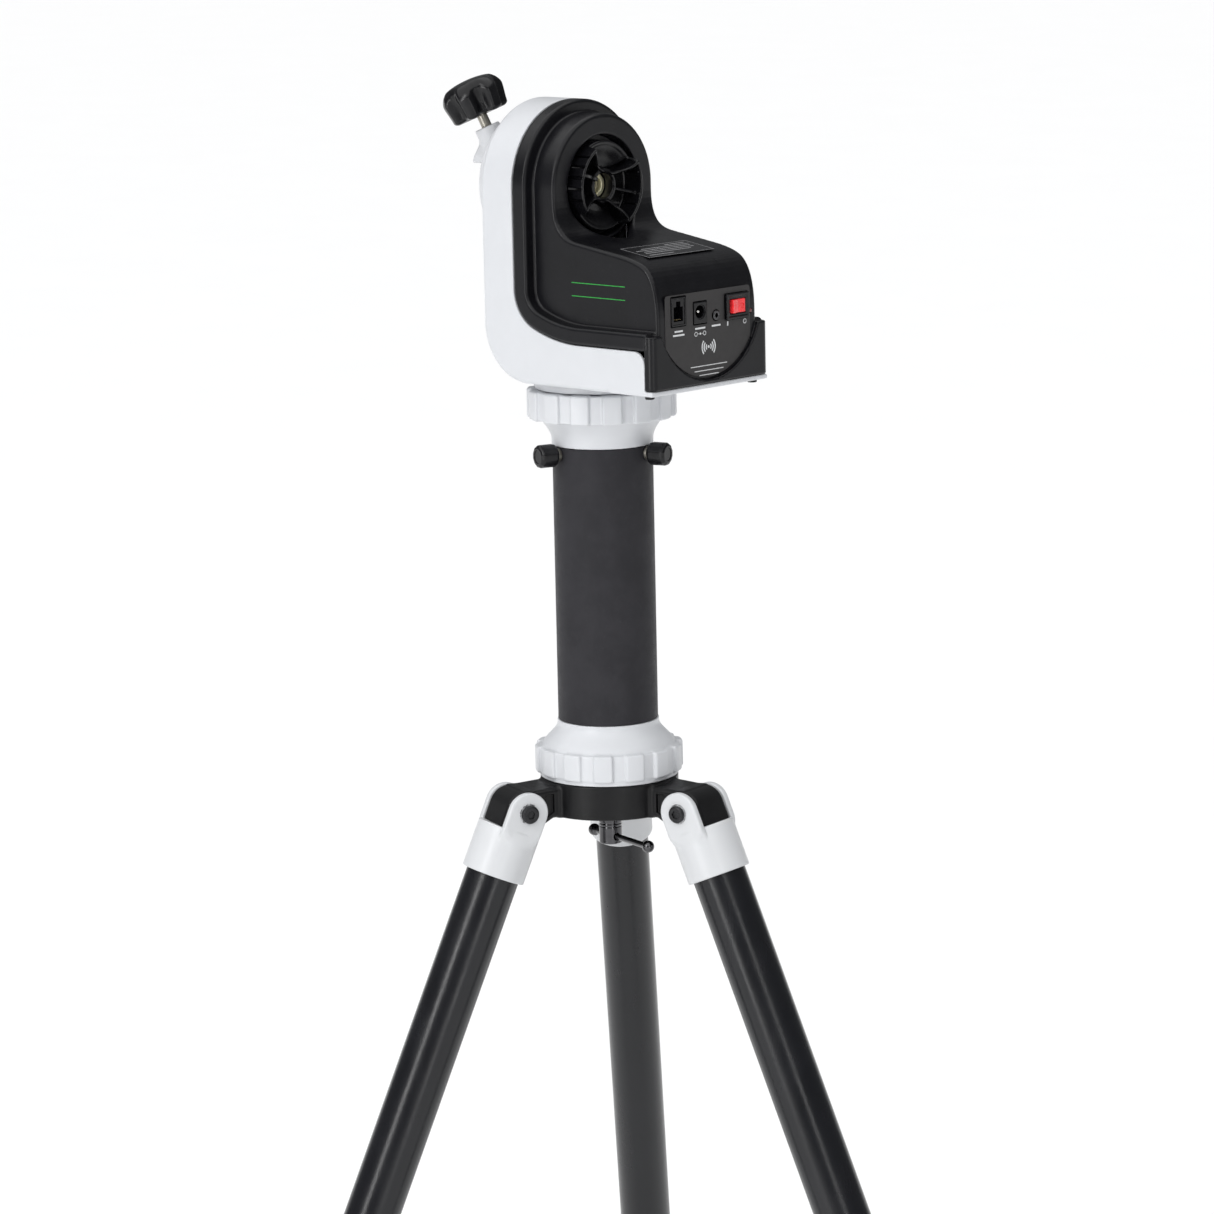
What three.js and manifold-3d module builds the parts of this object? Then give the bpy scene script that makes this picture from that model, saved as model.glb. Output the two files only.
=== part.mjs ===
// Motorised altazimuth mount head on an extension pillar and a three-legged tripod.
// Units are millimetres and +Z is up. The pillar axis is the azimuth axis.
// +X is the side with the control panel and the clutch knob, -X the side with the dovetail saddle.

import * as THREE from "three";
import { mergeVertices } from "three/addons/utils/BufferGeometryUtils.js";
import Module from "manifold-3d";

const wasm = await Module();
wasm.setup();

// ---------------------------------------------------------------- driving dimensions

const GAP = 0.3;

const LEG_PIVOT = { z: 590, radius: 67 };
const LEG_DIRECTIONS = [8.5, 128.5, 248.5];
const LEG_SPLAY = 23;
const UPPER_TUBE = { radius: 17.5, wall: 1.5, top: 24.3, bottom: 485 };
const LOWER_TUBE = { radius: 14, wall: 1.3, top: 40, bottom: 612 };
const CLEVIS = { shoulder: 13.5, socketFloor: 24, bottom: 45.6, radius: 20.75 };
const EAR = { radius: 13.6, inner: 15.8, outer: 20.5 };
const LEG_CLAMP = { top: 466, bottom: 516, radius: 21.5, screwAt: 500 };
const FOOT = { top: 598, radius: 17, end: 652 };
const PIVOT_BOLT = { radius: 3.9, headRadius: 5.6, headHeight: 2.6 };

const HUB = { bottom: 583.8, top: 606.2, radius: 45, armWidth: 31, domeRadius: 13.2 };
const CLAMP_BOLT = { radius: 7.6, bottom: 559.4, thread: 4.7, threadTop: 630, barZ: 564.4 };
const TOMMY_BAR = { radius: 2, ballRadius: 4, from: -19, to: 43, direction: -12.5 };

const PILLAR = { radius: 32.5, wall: 3, bottom: 643.7, top: 823.7 };
const SPIGOT = { radius: 29.2, bore: 25, length: 20 };
const RING = { radius: 48.3, valley: 46.3, lobes: 14, padShare: 0.58 };
const THUMB = { z: 819, start: 13.5, shaft: 2.7, headFrom: 35.4, headTo: 48.4, headRadius: 7.6 };

const HEAD_Z = 866.8;
const HEAD = { back: -51.3, halfWidth: 54.4, wall: 2.8, noseRadius: 9 };
const AXIS_H = 123;
const HEEL_RADIUS = 37;
const PARTING = { x: -24, cornerZ: 60.3, cornerRadius: 26.4, sweepRadius: 101.7, turn: radians(66.8) };
const FRONT = { halfWidth: 46, knobFace: 5.6, panel: 93.2, wall: 2.5, flange: 11.2 };
const APRON = { from: 88.6, to: 95.7, halfWidth: 54.4, bottom: 2.7, top: 37.5 };
const SCOOP = { radius: 47.9, z: 53.7 };
const CLUTCH = {
  recess: 32.4, floor: -6.5, radius: 28.5, rib: 1.2, ribs: 24, rim: 26.4, pocket: -1.2, from: -3, to: 14,
  hub: 11.5, hubTop: 6, bore: 8.3, turn: -14, scoopRadius: 30.5, scoopAt: 41, scoopFloor: 5.6,
  wall: 1.7, wallTop: 10.8, finWidth: 1.6, finTop: 7.4,
};
const SHAFT_RADIUS = 8;
const WHEEL = { teeth: 30, tip: 25, root: 22.6, width: 7 };
const WORM = { radius: 5, thread: 1.8, pitch: 5, length: 20, stub: 6.5 };
const WORM_DISTANCE = WHEEL.tip + WORM.radius + GAP;
const ALTITUDE_WHEEL_X = -27.3;
const AZIMUTH_WHEEL_Z = 24;

const SADDLE = { tilt: 14, back: -52.2, seat: -60, outer: -80, radius: 47.5 };
const CHANNEL = { low: -22.2, lowMouth: -19.2, high: 24, highMouth: 20.5, lip: -70.3 };
const SADDLE_SCREW = { offset: -14, lean: 19, x: -74.5, h: 40.8, radius: 3.9, pitch: 1.25, turns: 13.5 };
const STAR_KNOB = { radius: 20.8, valley: 15.5, lobes: 6, from: 7.6, to: 33.6, bottomRadius: 15 };

const SOCKETS = {
  handControl: { y: -27.4, z: 51, width: 13, height: 18, depth: 13 },
  power: { y: -7.4, z: 48.4, width: 11.8, height: 13.6, depth: 13 },
  snap: { y: 7.5, z: 45.3, radius: 3.1, bore: 1.4 },
  rocker: { y: 26.6, z: 49.4, width: 21.2, height: 16.4, depth: 22 },
};

const FINE = 32;
const ROUND = 20;
const SMALL = 12;

// ---------------------------------------------------------------- solids from three.js geometry

function toSolid(geometry) {
  const bare = geometry.clone();
  bare.deleteAttribute("normal");
  bare.deleteAttribute("uv");
  const merged = mergeVertices(bare, 1e-4);
  const vertProperties = new Float32Array(merged.attributes.position.array);
  const triVerts = facingOut(vertProperties, new Uint32Array(merged.index.array));
  return new wasm.Manifold(new wasm.Mesh({ numProp: 3, vertProperties, triVerts }));
}

function facingOut(points, triangles) {
  let volume = 0;
  const [a, b, c] = [new THREE.Vector3(), new THREE.Vector3(), new THREE.Vector3()];
  for (let i = 0; i < triangles.length; i += 3) {
    a.fromArray(points, 3 * triangles[i]);
    b.fromArray(points, 3 * triangles[i + 1]);
    c.fromArray(points, 3 * triangles[i + 2]);
    volume += a.dot(b.cross(c));
  }
  return volume < 0 ? triangles.reverse() : triangles;
}

function toGeometry(solid) {
  const mesh = solid.getMesh();
  const geometry = new THREE.BufferGeometry();
  geometry.setAttribute("position", new THREE.BufferAttribute(new Float32Array(mesh.vertProperties), 3));
  geometry.setIndex(new THREE.BufferAttribute(new Uint32Array(mesh.triVerts), 1));
  geometry.computeVertexNormals();
  return geometry;
}

const BASES = {
  x: new THREE.Matrix4().makeBasis(vec(0, 1, 0), vec(0, 0, 1), vec(1, 0, 0)),
  y: new THREE.Matrix4().makeBasis(vec(0, 0, 1), vec(1, 0, 0), vec(0, 1, 0)),
  z: new THREE.Matrix4(),
};

function vec(x, y, z) {
  return new THREE.Vector3(x, y, z);
}

function radians(degrees) {
  return THREE.MathUtils.degToRad(degrees);
}

// A closed outline given as corner points.
function outline(points) {
  return new THREE.Shape(points.map(([u, v]) => new THREE.Vector2(u, v)));
}

// An outline pushed along an axis. It is drawn in (y, z) for axis x, (z, x) for axis y and (x, y) for axis z.
function prism(shape, axis, from, to, curveSegments = 6) {
  const geometry = new THREE.ExtrudeGeometry(shape, { depth: to - from, bevelEnabled: false, curveSegments });
  geometry.translate(0, 0, from);
  return toSolid(geometry.applyMatrix4(BASES[axis]));
}

// An outline drawn in (x, z), pushed along Y between two values.
function sidePrism(shape, from, to, curveSegments = 6) {
  const geometry = new THREE.ExtrudeGeometry(shape, { depth: to - from, bevelEnabled: false, curveSegments });
  geometry.translate(0, 0, -to);
  return toSolid(geometry.rotateX(Math.PI / 2));
}

function block(x0, x1, y0, y1, z0, z1) {
  const geometry = new THREE.BoxGeometry(x1 - x0, y1 - y0, z1 - z0);
  geometry.translate((x0 + x1) / 2, (y0 + y1) / 2, (z0 + z1) / 2);
  return toSolid(geometry);
}

// A round bar along an axis, at a place given by the other two coordinates in cyclic order.
function bar(axis, radius, from, to, u = 0, v = 0, segments = ROUND) {
  const geometry = new THREE.CylinderGeometry(radius, radius, to - from, segments);
  geometry.rotateX(Math.PI / 2);
  geometry.translate(u, v, (from + to) / 2);
  return toSolid(geometry.applyMatrix4(BASES[axis]));
}

// A profile of [radius, height] points turned about an axis.
function turned(profile, axis = "z", segments = FINE) {
  const points = profile.map(([r, h]) => new THREE.Vector2(r, h));
  if (profile[0][0] > 0) {
    points.push(points[0].clone());
  }
  const geometry = new THREE.LatheGeometry(points, segments);
  geometry.rotateX(Math.PI / 2);
  return toSolid(geometry.applyMatrix4(BASES[axis]));
}

// A round bar with a V thread along Z, from z = 0 up.
function threadedBar(major, depth, pitch, length, sides, rowsPerTurn) {
  const rows = Math.round((length / pitch) * rowsPerTurn);
  const positions = [];
  const triangles = [];
  for (let i = 0; i <= rows; i += 1) {
    for (let j = 0; j < sides; j += 1) {
      const turn = (((i / rowsPerTurn - j / sides) % 1) + 1) % 1;
      const radius = major - depth * Math.abs(2 * turn - 1);
      const angle = (2 * Math.PI * j) / sides;
      positions.push(radius * Math.cos(angle), radius * Math.sin(angle), (length * i) / rows);
    }
  }
  for (let i = 0; i < rows; i += 1) {
    for (let j = 0; j < sides; j += 1) {
      const [a, b] = [i * sides + j, i * sides + ((j + 1) % sides)];
      triangles.push(a, b, b + sides, a, b + sides, a + sides);
    }
  }
  const [low, high] = [positions.length / 3, positions.length / 3 + 1];
  positions.push(0, 0, 0, 0, 0, length);
  for (let j = 0; j < sides; j += 1) {
    const next = (j + 1) % sides;
    triangles.push(low, next, j, high, rows * sides + j, rows * sides + next);
  }
  const geometry = new THREE.BufferGeometry();
  geometry.setAttribute("position", new THREE.Float32BufferAttribute(positions, 3));
  geometry.setIndex(triangles);
  return toSolid(geometry);
}

// A ring outline whose radius steps between two values, for grip rings, knobs and gears.
function lobedOutline(count, high, low, share, rampShare) {
  const points = [];
  for (let i = 0; i < count; i += 1) {
    const half = (share / 2) * (1 - rampShare);
    const foot = (share / 2) * (1 + rampShare);
    const corners = [[-foot, low], [-half, high], [half, high], [foot, low]];
    for (const [part, radius] of corners) {
      const angle = (2 * Math.PI * (i + part)) / count;
      points.push([radius * Math.cos(angle), radius * Math.sin(angle)]);
    }
  }
  return outline(points);
}

function joined(...solids) {
  return solids.reduce((whole, next) => whole.add(next));
}

// ---------------------------------------------------------------- materials

const MATERIALS = {
  white: new THREE.MeshStandardMaterial({ color: 0xe6e8ec, roughness: 0.42, metalness: 0 }),
  black: new THREE.MeshStandardMaterial({ color: 0x1e1e21, roughness: 0.45, metalness: 0 }),
  pillar: new THREE.MeshStandardMaterial({ color: 0x3a383c, roughness: 0.6, metalness: 0.2 }),
  leg: new THREE.MeshStandardMaterial({ color: 0x18191d, roughness: 0.45, metalness: 0.3 }),
  silver: new THREE.MeshStandardMaterial({ color: 0xb9bbbe, roughness: 0.35, metalness: 0.9 }),
  steel: new THREE.MeshStandardMaterial({ color: 0x77746b, roughness: 0.35, metalness: 1 }),
  chrome: new THREE.MeshStandardMaterial({ color: 0x2b2b2e, roughness: 0.15, metalness: 1 }),
  brass: new THREE.MeshStandardMaterial({ color: 0xc9a25a, roughness: 0.3, metalness: 1 }),
  red: new THREE.MeshStandardMaterial({ color: 0xd8222c, roughness: 0.35, metalness: 0 }),
  green: new THREE.MeshStandardMaterial({ color: 0x1d5a38, roughness: 0.5, metalness: 0 }),
  rubber: new THREE.MeshStandardMaterial({ color: 0x161616, roughness: 0.8, metalness: 0 }),
};

function place(group, name, solid, material) {
  const mesh = new THREE.Mesh(toGeometry(solid), MATERIALS[material]);
  mesh.name = name;
  group.add(mesh);
}

// ---------------------------------------------------------------- tripod hub and legs

// In a leg's own frame the pivot is the origin, the leg runs down -Z and +X points away from the pillar.
function legFrame(direction) {
  const swing = new THREE.Group();
  const splay = new THREE.Group();
  swing.rotation.z = radians(direction);
  splay.position.set(LEG_PIVOT.radius, 0, LEG_PIVOT.z);
  splay.rotation.y = -radians(LEG_SPLAY);
  swing.add(splay);
  return { swing, splay };
}

function hubArm() {
  const half = HUB.armWidth / 2;
  const { z, radius } = LEG_PIVOT;
  const dome = bar("y", HUB.domeRadius, -half, half, z, radius);
  const web = outline([
    [30, HUB.bottom], [47, HUB.bottom], [radius - 8.5, z - 12.4], [radius, z],
    [radius, z + HUB.domeRadius], [42, HUB.top - 2.2], [30, HUB.top - 2.2],
  ]);
  const stop = block(0, HUB.domeRadius, -half, half, -HUB.domeRadius, 0)
    .rotate([0, -LEG_SPLAY, 0])
    .translate([radius, 0, z]);
  const bore = bar("y", PIVOT_BOLT.radius + GAP, -half - 1, half + 1, z, radius, SMALL);
  return joined(dome, sidePrism(web, -half, half), stop).subtract(bore);
}

function tripodHub() {
  let hub = turned([[5.2, HUB.bottom], [HUB.radius, HUB.bottom], [HUB.radius, HUB.top], [5.2, HUB.top]]);
  const pocket = { radius: 8.5, at: 28, depth: 14 };
  for (const direction of LEG_DIRECTIONS) {
    hub = hub.add(hubArm().rotate([0, 0, direction]));
  }
  for (const direction of LEG_DIRECTIONS) {
    const hollow = bar("z", pocket.radius, HUB.bottom - 1, HUB.bottom + pocket.depth, pocket.at, 0, SMALL);
    hub = hub.subtract(hollow.rotate([0, 0, direction + 60]));
  }
  const bore = bar("z", 5.2, HUB.bottom - 40, HUB.top + 1, 0, 0, SMALL);
  return hub.subtract(bore);
}

function clevis() {
  const { shoulder, socketFloor, bottom, radius } = CLEVIS;
  const socket = turned([
    [0, -socketFloor], [UPPER_TUBE.radius + GAP, -socketFloor], [UPPER_TUBE.radius + GAP, -bottom],
    [radius, -bottom], [radius, -shoulder], [0, -shoulder],
  ], "z", ROUND);
  const half = EAR.radius;
  const ear = outline([[-half, 0], [-half, -9], [-7, -26], [7, -26], [half, -9], [half, 0]]);
  let body = socket;
  for (const side of [-1, 1]) {
    const [low, high] = side < 0 ? [-EAR.outer, -EAR.inner] : [EAR.inner, EAR.outer];
    const round = bar("y", half, low, high, 0, 0);
    const bore = bar("y", PIVOT_BOLT.radius + GAP, low - 1, high + 1, 0, 0, SMALL);
    const tube = bar("z", UPPER_TUBE.radius + GAP, -bottom - 1, -socketFloor, 0, 0, ROUND);
    body = body.add(joined(round, sidePrism(ear, low, high)).subtract(tube)).subtract(bore);
  }
  return body;
}

function pivotBolt() {
  const reach = EAR.outer + GAP;
  const { radius, headRadius, headHeight } = PIVOT_BOLT;
  const shank = bar("y", radius, -reach - 1, reach + 1, 0, 0, SMALL);
  const head = bar("y", headRadius, -reach - headHeight, -reach, 0, 0, SMALL);
  const nut = bar("y", headRadius + 0.9, reach, reach + headHeight + 0.6, 0, 0, 6);
  const recess = joined(
    block(-2.4, 2.4, -reach - headHeight - 1, -reach - headHeight + 1.2, -0.6, 0.6),
    block(-0.6, 0.6, -reach - headHeight - 1, -reach - headHeight + 1.2, -2.4, 2.4),
  );
  return joined(shank, head, nut).subtract(recess);
}

function legTube({ radius, wall, top, bottom }, segments) {
  const inner = radius - wall;
  return turned([[inner, -bottom], [radius, -bottom], [radius, -top], [inner, -top]], "z", segments);
}

function legClamp() {
  const { top, bottom, radius, screwAt } = LEG_CLAMP;
  const [upper, lower] = [UPPER_TUBE.radius + GAP, LOWER_TUBE.radius + GAP];
  const step = UPPER_TUBE.bottom + GAP;
  const sleeve = turned([
    [upper, -top], [upper, -step], [lower, -step], [lower, -bottom], [radius - 3, -bottom],
    [radius, -bottom + 6], [radius, -top - 2], [radius - 1.5, -top],
  ], "z", ROUND);
  const boss = bar("x", 8, lower + 1, radius + 3.5, 0, -screwAt, SMALL);
  const thread = bar("x", 3.3, 0, radius + 10, 0, -screwAt, SMALL);
  const inside = bar("z", lower, -bottom - 1, -top + 1, 0, 0, ROUND);
  return sleeve.add(boss.subtract(inside)).subtract(thread);
}

function legClampScrew() {
  const tip = LOWER_TUBE.radius + GAP;
  const base = LEG_CLAMP.radius + 3.5 + GAP;
  const shaft = bar("x", 3, tip, base + 2, 0, 0, SMALL);
  const collar = bar("x", 5.5, base, base + 4, 0, 0, SMALL);
  const grip = prism(lobedOutline(6, 11, 9.2, 0.6, 0.4), "x", base + 3, base + 15);
  return joined(shaft, collar, grip);
}

// The rubber foot is cut off flat where the splayed leg meets the floor.
function rubberFoot() {
  const { top, radius, end } = FOOT;
  const bore = LOWER_TUBE.radius + GAP;
  const body = turned([
    [0, -end], [radius - 6, -end], [radius, -end + 8], [radius, -top - 2], [radius - 1.5, -top],
    [bore, -top], [bore, -LOWER_TUBE.bottom - GAP], [0, -LOWER_TUBE.bottom - GAP],
  ], "z", ROUND);
  const floor = block(200, 450, -60, 60, -100, 0)
    .translate([-LEG_PIVOT.radius, 0, -LEG_PIVOT.z])
    .rotate([0, LEG_SPLAY, 0]);
  return body.subtract(floor);
}

function addLeg(root, number, direction) {
  const { swing, splay } = legFrame(direction);
  const name = (piece) => `leg_${number}_${piece}`;
  place(splay, name("clevis"), clevis(), "white");
  place(splay, name("pivot_bolt"), pivotBolt(), "chrome");
  place(splay, name("upper_tube"), legTube(UPPER_TUBE, ROUND), "leg");
  place(splay, name("clamp"), legClamp(), "white");
  place(splay, name("lower_tube"), legTube(LOWER_TUBE, ROUND), "leg");
  place(splay, name("foot"), rubberFoot(), "rubber");
  const screw = new THREE.Group();
  screw.position.set(0, 0, -LEG_CLAMP.screwAt);
  place(screw, name("clamp_screw"), legClampScrew(), "black");
  splay.add(screw);
  root.add(swing);
}

function clampBolt() {
  const { radius, bottom, thread, threadTop, barZ } = CLAMP_BOLT;
  const head = bar("z", radius, bottom, HUB.bottom - GAP, 0, 0, ROUND);
  const shank = bar("z", thread, HUB.bottom - 2, threadTop, 0, 0, SMALL);
  const hole = bar("x", TOMMY_BAR.radius + GAP, -20, 20, 0, barZ, SMALL).rotate([0, 0, TOMMY_BAR.direction]);
  return joined(head, shank).subtract(hole);
}

function tommyBar() {
  const { radius, ballRadius, from, to } = TOMMY_BAR;
  const rod = bar("x", radius, from, to, 0, 0, 10);
  const ball = () => new THREE.SphereGeometry(ballRadius, 10, 6);
  return joined(rod, toSolid(ball().translate(from, 0, 0)), toSolid(ball().translate(to, 0, 0)));
}

// ---------------------------------------------------------------- pillar

function gripRing(from, to) {
  const lobes = lobedOutline(RING.lobes, RING.radius, RING.valley, RING.padShare, 0.08);
  const core = bar("z", RING.valley - 4, from - 1, to + 1, 0, 0, FINE);
  return prism(lobes, "z", from, to).subtract(core);
}

function lowerCollar() {
  const base = HUB.top + GAP;
  const seat = PILLAR.bottom - GAP;
  const bore = CLAMP_BOLT.thread + GAP;
  const body = turned([
    [bore, base], [RING.valley - 1, base], [RING.valley - 1, base + 20.4], [42.5, base + 22.6],
    [38, base + 26.8], [34.5, base + 31.2], [33, seat], [SPIGOT.radius, seat], [SPIGOT.radius, seat + SPIGOT.length],
    [SPIGOT.bore, seat + SPIGOT.length], [SPIGOT.bore, base + 14], [bore, base + 14],
  ]);
  return body.add(gripRing(base + 3, base + 20.8));
}

function upperCollar() {
  const seat = PILLAR.top + GAP;
  const rise = seat + 19;
  const top = rise + 17.6;
  const bore = 4.8;
  const body = turned([
    [SPIGOT.bore, seat - SPIGOT.length], [SPIGOT.radius, seat - SPIGOT.length], [SPIGOT.radius, seat],
    [32.7, seat], [32.9, seat + 5], [34.8, seat + 10.4], [38, seat + 14.4], [41.4, rise - 2],
    [RING.valley - 1, rise - 2], [RING.valley - 1, top], [bore, top], [bore, rise - 4], [SPIGOT.bore, rise - 4],
  ]);
  return body.add(gripRing(rise - 1.4, top - 0.4));
}

function pillarTube() {
  const { radius, wall, bottom, top } = PILLAR;
  const inner = radius - wall;
  let tube = turned([[inner, bottom], [radius, bottom], [radius, top], [inner, top]]);
  for (let i = 0; i < 3; i += 1) {
    const hole = bar("x", THUMB.shaft + GAP, inner - 5, radius + 5, 0, THUMB.z, SMALL);
    tube = tube.subtract(hole.rotate([0, 0, THUMB.start + 120 * i]));
  }
  return tube;
}

function pillarThumbscrew() {
  const tip = PILLAR.radius - PILLAR.wall;
  const shaft = bar("x", THUMB.shaft, tip, THUMB.headFrom + 1, 0, 0, SMALL);
  const flutes = lobedOutline(8, THUMB.headRadius, THUMB.headRadius - 0.9, 0.6, 0.3);
  return joined(shaft, prism(flutes, "x", THUMB.headFrom, THUMB.headTo));
}

function headBolt() {
  const seat = PILLAR.top + GAP + 15 - GAP;
  return joined(bar("z", 9, seat - 6, seat, 0, 0, 6), bar("z", 4.5, seat - 2, seat + 34, 0, 0, SMALL));
}

// ---------------------------------------------------------------- head casing

// The outline of the head seen along X, brought in by an inset. Heights are above the head's floor.
function archOutline(halfWidth, inset = 0) {
  const half = halfWidth - inset;
  const shape = new THREE.Shape();
  shape.moveTo(-half, inset);
  shape.lineTo(half, inset);
  shape.lineTo(half, AXIS_H);
  shape.absarc(0, AXIS_H, half, 0, Math.PI, false);
  shape.closePath();
  return shape;
}

// The line where the white part meets the black cover, seen along Y: up the foot, round two arcs and up the
// column. The offset moves it towards the cover.
const CORNER = { x: PARTING.x + PARTING.cornerRadius, z: PARTING.cornerZ };
const SWEEP = {
  x: CORNER.x + (PARTING.sweepRadius - PARTING.cornerRadius) * Math.cos(PARTING.turn),
  z: CORNER.z + (PARTING.sweepRadius - PARTING.cornerRadius) * Math.sin(PARTING.turn),
};
const FOOT_TOP = SWEEP.z - PARTING.sweepRadius;
const COLUMN_END = 190;

function followParting(shape, offset, upwards = true) {
  const turn = Math.PI + PARTING.turn;
  const sweep = PARTING.sweepRadius - offset;
  const corner = PARTING.cornerRadius - offset;
  if (upwards) {
    shape.lineTo(SWEEP.x, SWEEP.z - sweep);
    shape.absarc(SWEEP.x, SWEEP.z, sweep, 1.5 * Math.PI, turn, true);
    shape.absarc(CORNER.x, CORNER.z, corner, turn, Math.PI, true);
    shape.lineTo(CORNER.x - corner, COLUMN_END);
  } else {
    shape.lineTo(CORNER.x - corner, COLUMN_END);
    shape.absarc(CORNER.x, CORNER.z, corner, Math.PI, turn, false);
    shape.absarc(SWEEP.x, SWEEP.z, sweep, turn, 1.5 * Math.PI, false);
  }
}

// The white part seen along Y: the column's back, the round heel and the pan under the foot.
function rearOutline(inset, open) {
  const back = HEAD.back + inset;
  const floor = inset;
  const heel = HEEL_RADIUS - inset;
  const [heelX, heelZ] = [HEAD.back + HEEL_RADIUS, HEEL_RADIUS];
  const nose = APRON.from - GAP - inset;
  const shape = new THREE.Shape();
  shape.moveTo(heelX, floor);
  shape.lineTo(nose, floor);
  if (open) {
    shape.lineTo(nose, FOOT_TOP + 20);
    shape.lineTo(30, FOOT_TOP + 20);
    shape.lineTo(10, COLUMN_END);
  } else {
    const round = HEAD.noseRadius;
    shape.lineTo(nose, FOOT_TOP - round);
    shape.absarc(nose - round, FOOT_TOP - round, round, 0, Math.PI / 2, false);
    followParting(shape, 0);
  }
  shape.lineTo(back, COLUMN_END);
  shape.lineTo(back, heelZ);
  shape.absarc(heelX, heelZ, heel, Math.PI, 1.5 * Math.PI, false);
  return shape;
}

function rearShell() {
  const half = HEAD.halfWidth;
  const t = HEAD.wall;
  const outer = sidePrism(rearOutline(0, false), -half, half)
    .add(block(60, APRON.to - 1, -half, half, 0, APRON.bottom - GAP))
    .intersect(prism(archOutline(half), "x", -60, 100, 12));
  const inner = sidePrism(rearOutline(t, true), -half + t, half - t)
    .intersect(prism(archOutline(half, t), "x", -60, 100, 12));
  const shaftHole = bar("x", SHAFT_RADIUS + 6, -60, -40, 0, AXIS_H, ROUND);
  const spindleHole = bar("z", 14, -1, t + 1, 0, 0, ROUND);
  return outer.subtract(inner).subtract(shaftHole).subtract(spindleHole);
}

// The black flange follows the parting line and is as wide as the white part.
const OPEN_BACK = 4;

function flangeOutline(inset) {
  const back = inset > 0 ? GAP - OPEN_BACK : GAP;
  const front = FRONT.flange - inset;
  const shape = new THREE.Shape();
  shape.moveTo(APRON.from + 1, FOOT_TOP + back);
  followParting(shape, back);
  followParting(shape, front, false);
  shape.lineTo(APRON.from + 1, FOOT_TOP + front);
  return shape;
}

// The raised L-shaped body of the black cover, seen along Y: panel, shoulder, foot top, heel and knob face.
function bodyOutline(inset) {
  const back = inset > 0 ? GAP - OPEN_BACK : GAP;
  const shape = new THREE.Shape();
  shape.moveTo(FRONT.panel - inset, FOOT_TOP + back);
  shape.lineTo(FRONT.panel - inset, 48 - inset);
  shape.quadraticCurveTo(92.6 - inset, 70.3 - inset, 83.5 - inset, 78.4 - inset);
  shape.quadraticCurveTo(78.2 - inset, 83.1 - inset, 62 - inset, 85.9 - inset);
  shape.lineTo(24 - inset, 91.8 - inset);
  shape.bezierCurveTo(13 - inset, 93.5 - inset, 6 - inset, 98 - inset, FRONT.knobFace - inset, 116);
  shape.lineTo(FRONT.knobFace - inset, COLUMN_END);
  followParting(shape, back, false);
  return shape;
}

function panelHole(socket) {
  const halfY = socket.width / 2 + GAP;
  const halfZ = socket.height / 2 + GAP;
  const { y, z } = socket;
  return block(FRONT.panel - 10, FRONT.panel + 10, y - halfY, y + halfY, z - halfZ, z + halfZ);
}

function apron() {
  const { from, to, halfWidth, bottom, top } = APRON;
  const corner = 4.6;
  const plan = new THREE.Shape();
  plan.moveTo(from, -halfWidth);
  plan.lineTo(to - corner, -halfWidth);
  plan.absarc(to - corner, -halfWidth + corner, corner, -Math.PI / 2, 0, false);
  plan.lineTo(to, halfWidth - corner);
  plan.absarc(to - corner, halfWidth - corner, corner, 0, Math.PI / 2, false);
  plan.lineTo(from, halfWidth);
  const scoop = bar("x", SCOOP.radius, FRONT.panel, to + 5, 0, SCOOP.z, FINE);
  return prism(plan, "z", bottom, top, 4).subtract(scoop);
}

function frontCover() {
  const t = FRONT.wall;
  const under = (shape, half, inset) => sidePrism(shape, -half + inset, half - inset)
    .intersect(prism(archOutline(half, inset), "x", -40, 120, 10));
  const body = (inset) => under(bodyOutline(inset), FRONT.halfWidth, inset);
  const flange = (inset) => under(flangeOutline(inset), HEAD.halfWidth, inset);
  let cover = joined(body(0), flange(0), apron());
  cover = cover.subtract(body(t)).subtract(flange(t));
  const { recess, floor } = CLUTCH;
  const well = bar("x", recess + 2.5, floor, FRONT.knobFace, 0, AXIS_H, FINE);
  cover = cover.add(well).subtract(bar("x", recess, floor + 2.5, 20, 0, AXIS_H, FINE));
  cover = cover.subtract(bar("x", SHAFT_RADIUS + 2, -20, 20, 0, AXIS_H, ROUND));
  const { handControl, power, snap, rocker } = SOCKETS;
  const switchHole = { ...rocker, width: rocker.width - 2.4, height: rocker.height - 2.4 };
  for (const socket of [handControl, power, switchHole]) {
    cover = cover.subtract(panelHole(socket));
  }
  return cover.subtract(bar("x", snap.radius + GAP, 80, 100, snap.y, snap.z, SMALL));
}

// ---------------------------------------------------------------- inside the head

// A cast frame: a floor plate, one side wall up to a shelf, and two bearing plates on the shelf.
function innerFrame() {
  const [front, rear] = [[-15.5, -11.5], [-43, -39]];
  const half = 24;
  const shelf = { low: 40, high: 45 };
  const plate = ([from, to]) => {
    const shape = outline([[-half, shelf.low], [half, shelf.low], [half, AXIS_H], [-half, AXIS_H]]);
    return prism(shape, "x", from, to).add(bar("x", half, from, to, 0, AXIS_H));
  };
  const floor = block(-15.5, 27, -38, 38, 3.6, 9.2);
  const wall = block(-15.5, 27, -38, -34, 3.6, shelf.high);
  const top = block(rear[0], 27, -38, half, shelf.low, shelf.high);
  const bores = bar("x", 17, -50, 0, 0, AXIS_H).add(bar("z", 17.3, 0, 12));
  return joined(floor, wall, top, plate(front), plate(rear)).subtract(bores);
}

function ringAlong(axis, inner, outer, from, to, u, v) {
  return bar(axis, outer, from, to, u, v).subtract(bar(axis, inner, from - 1, to + 1, u, v));
}

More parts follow.
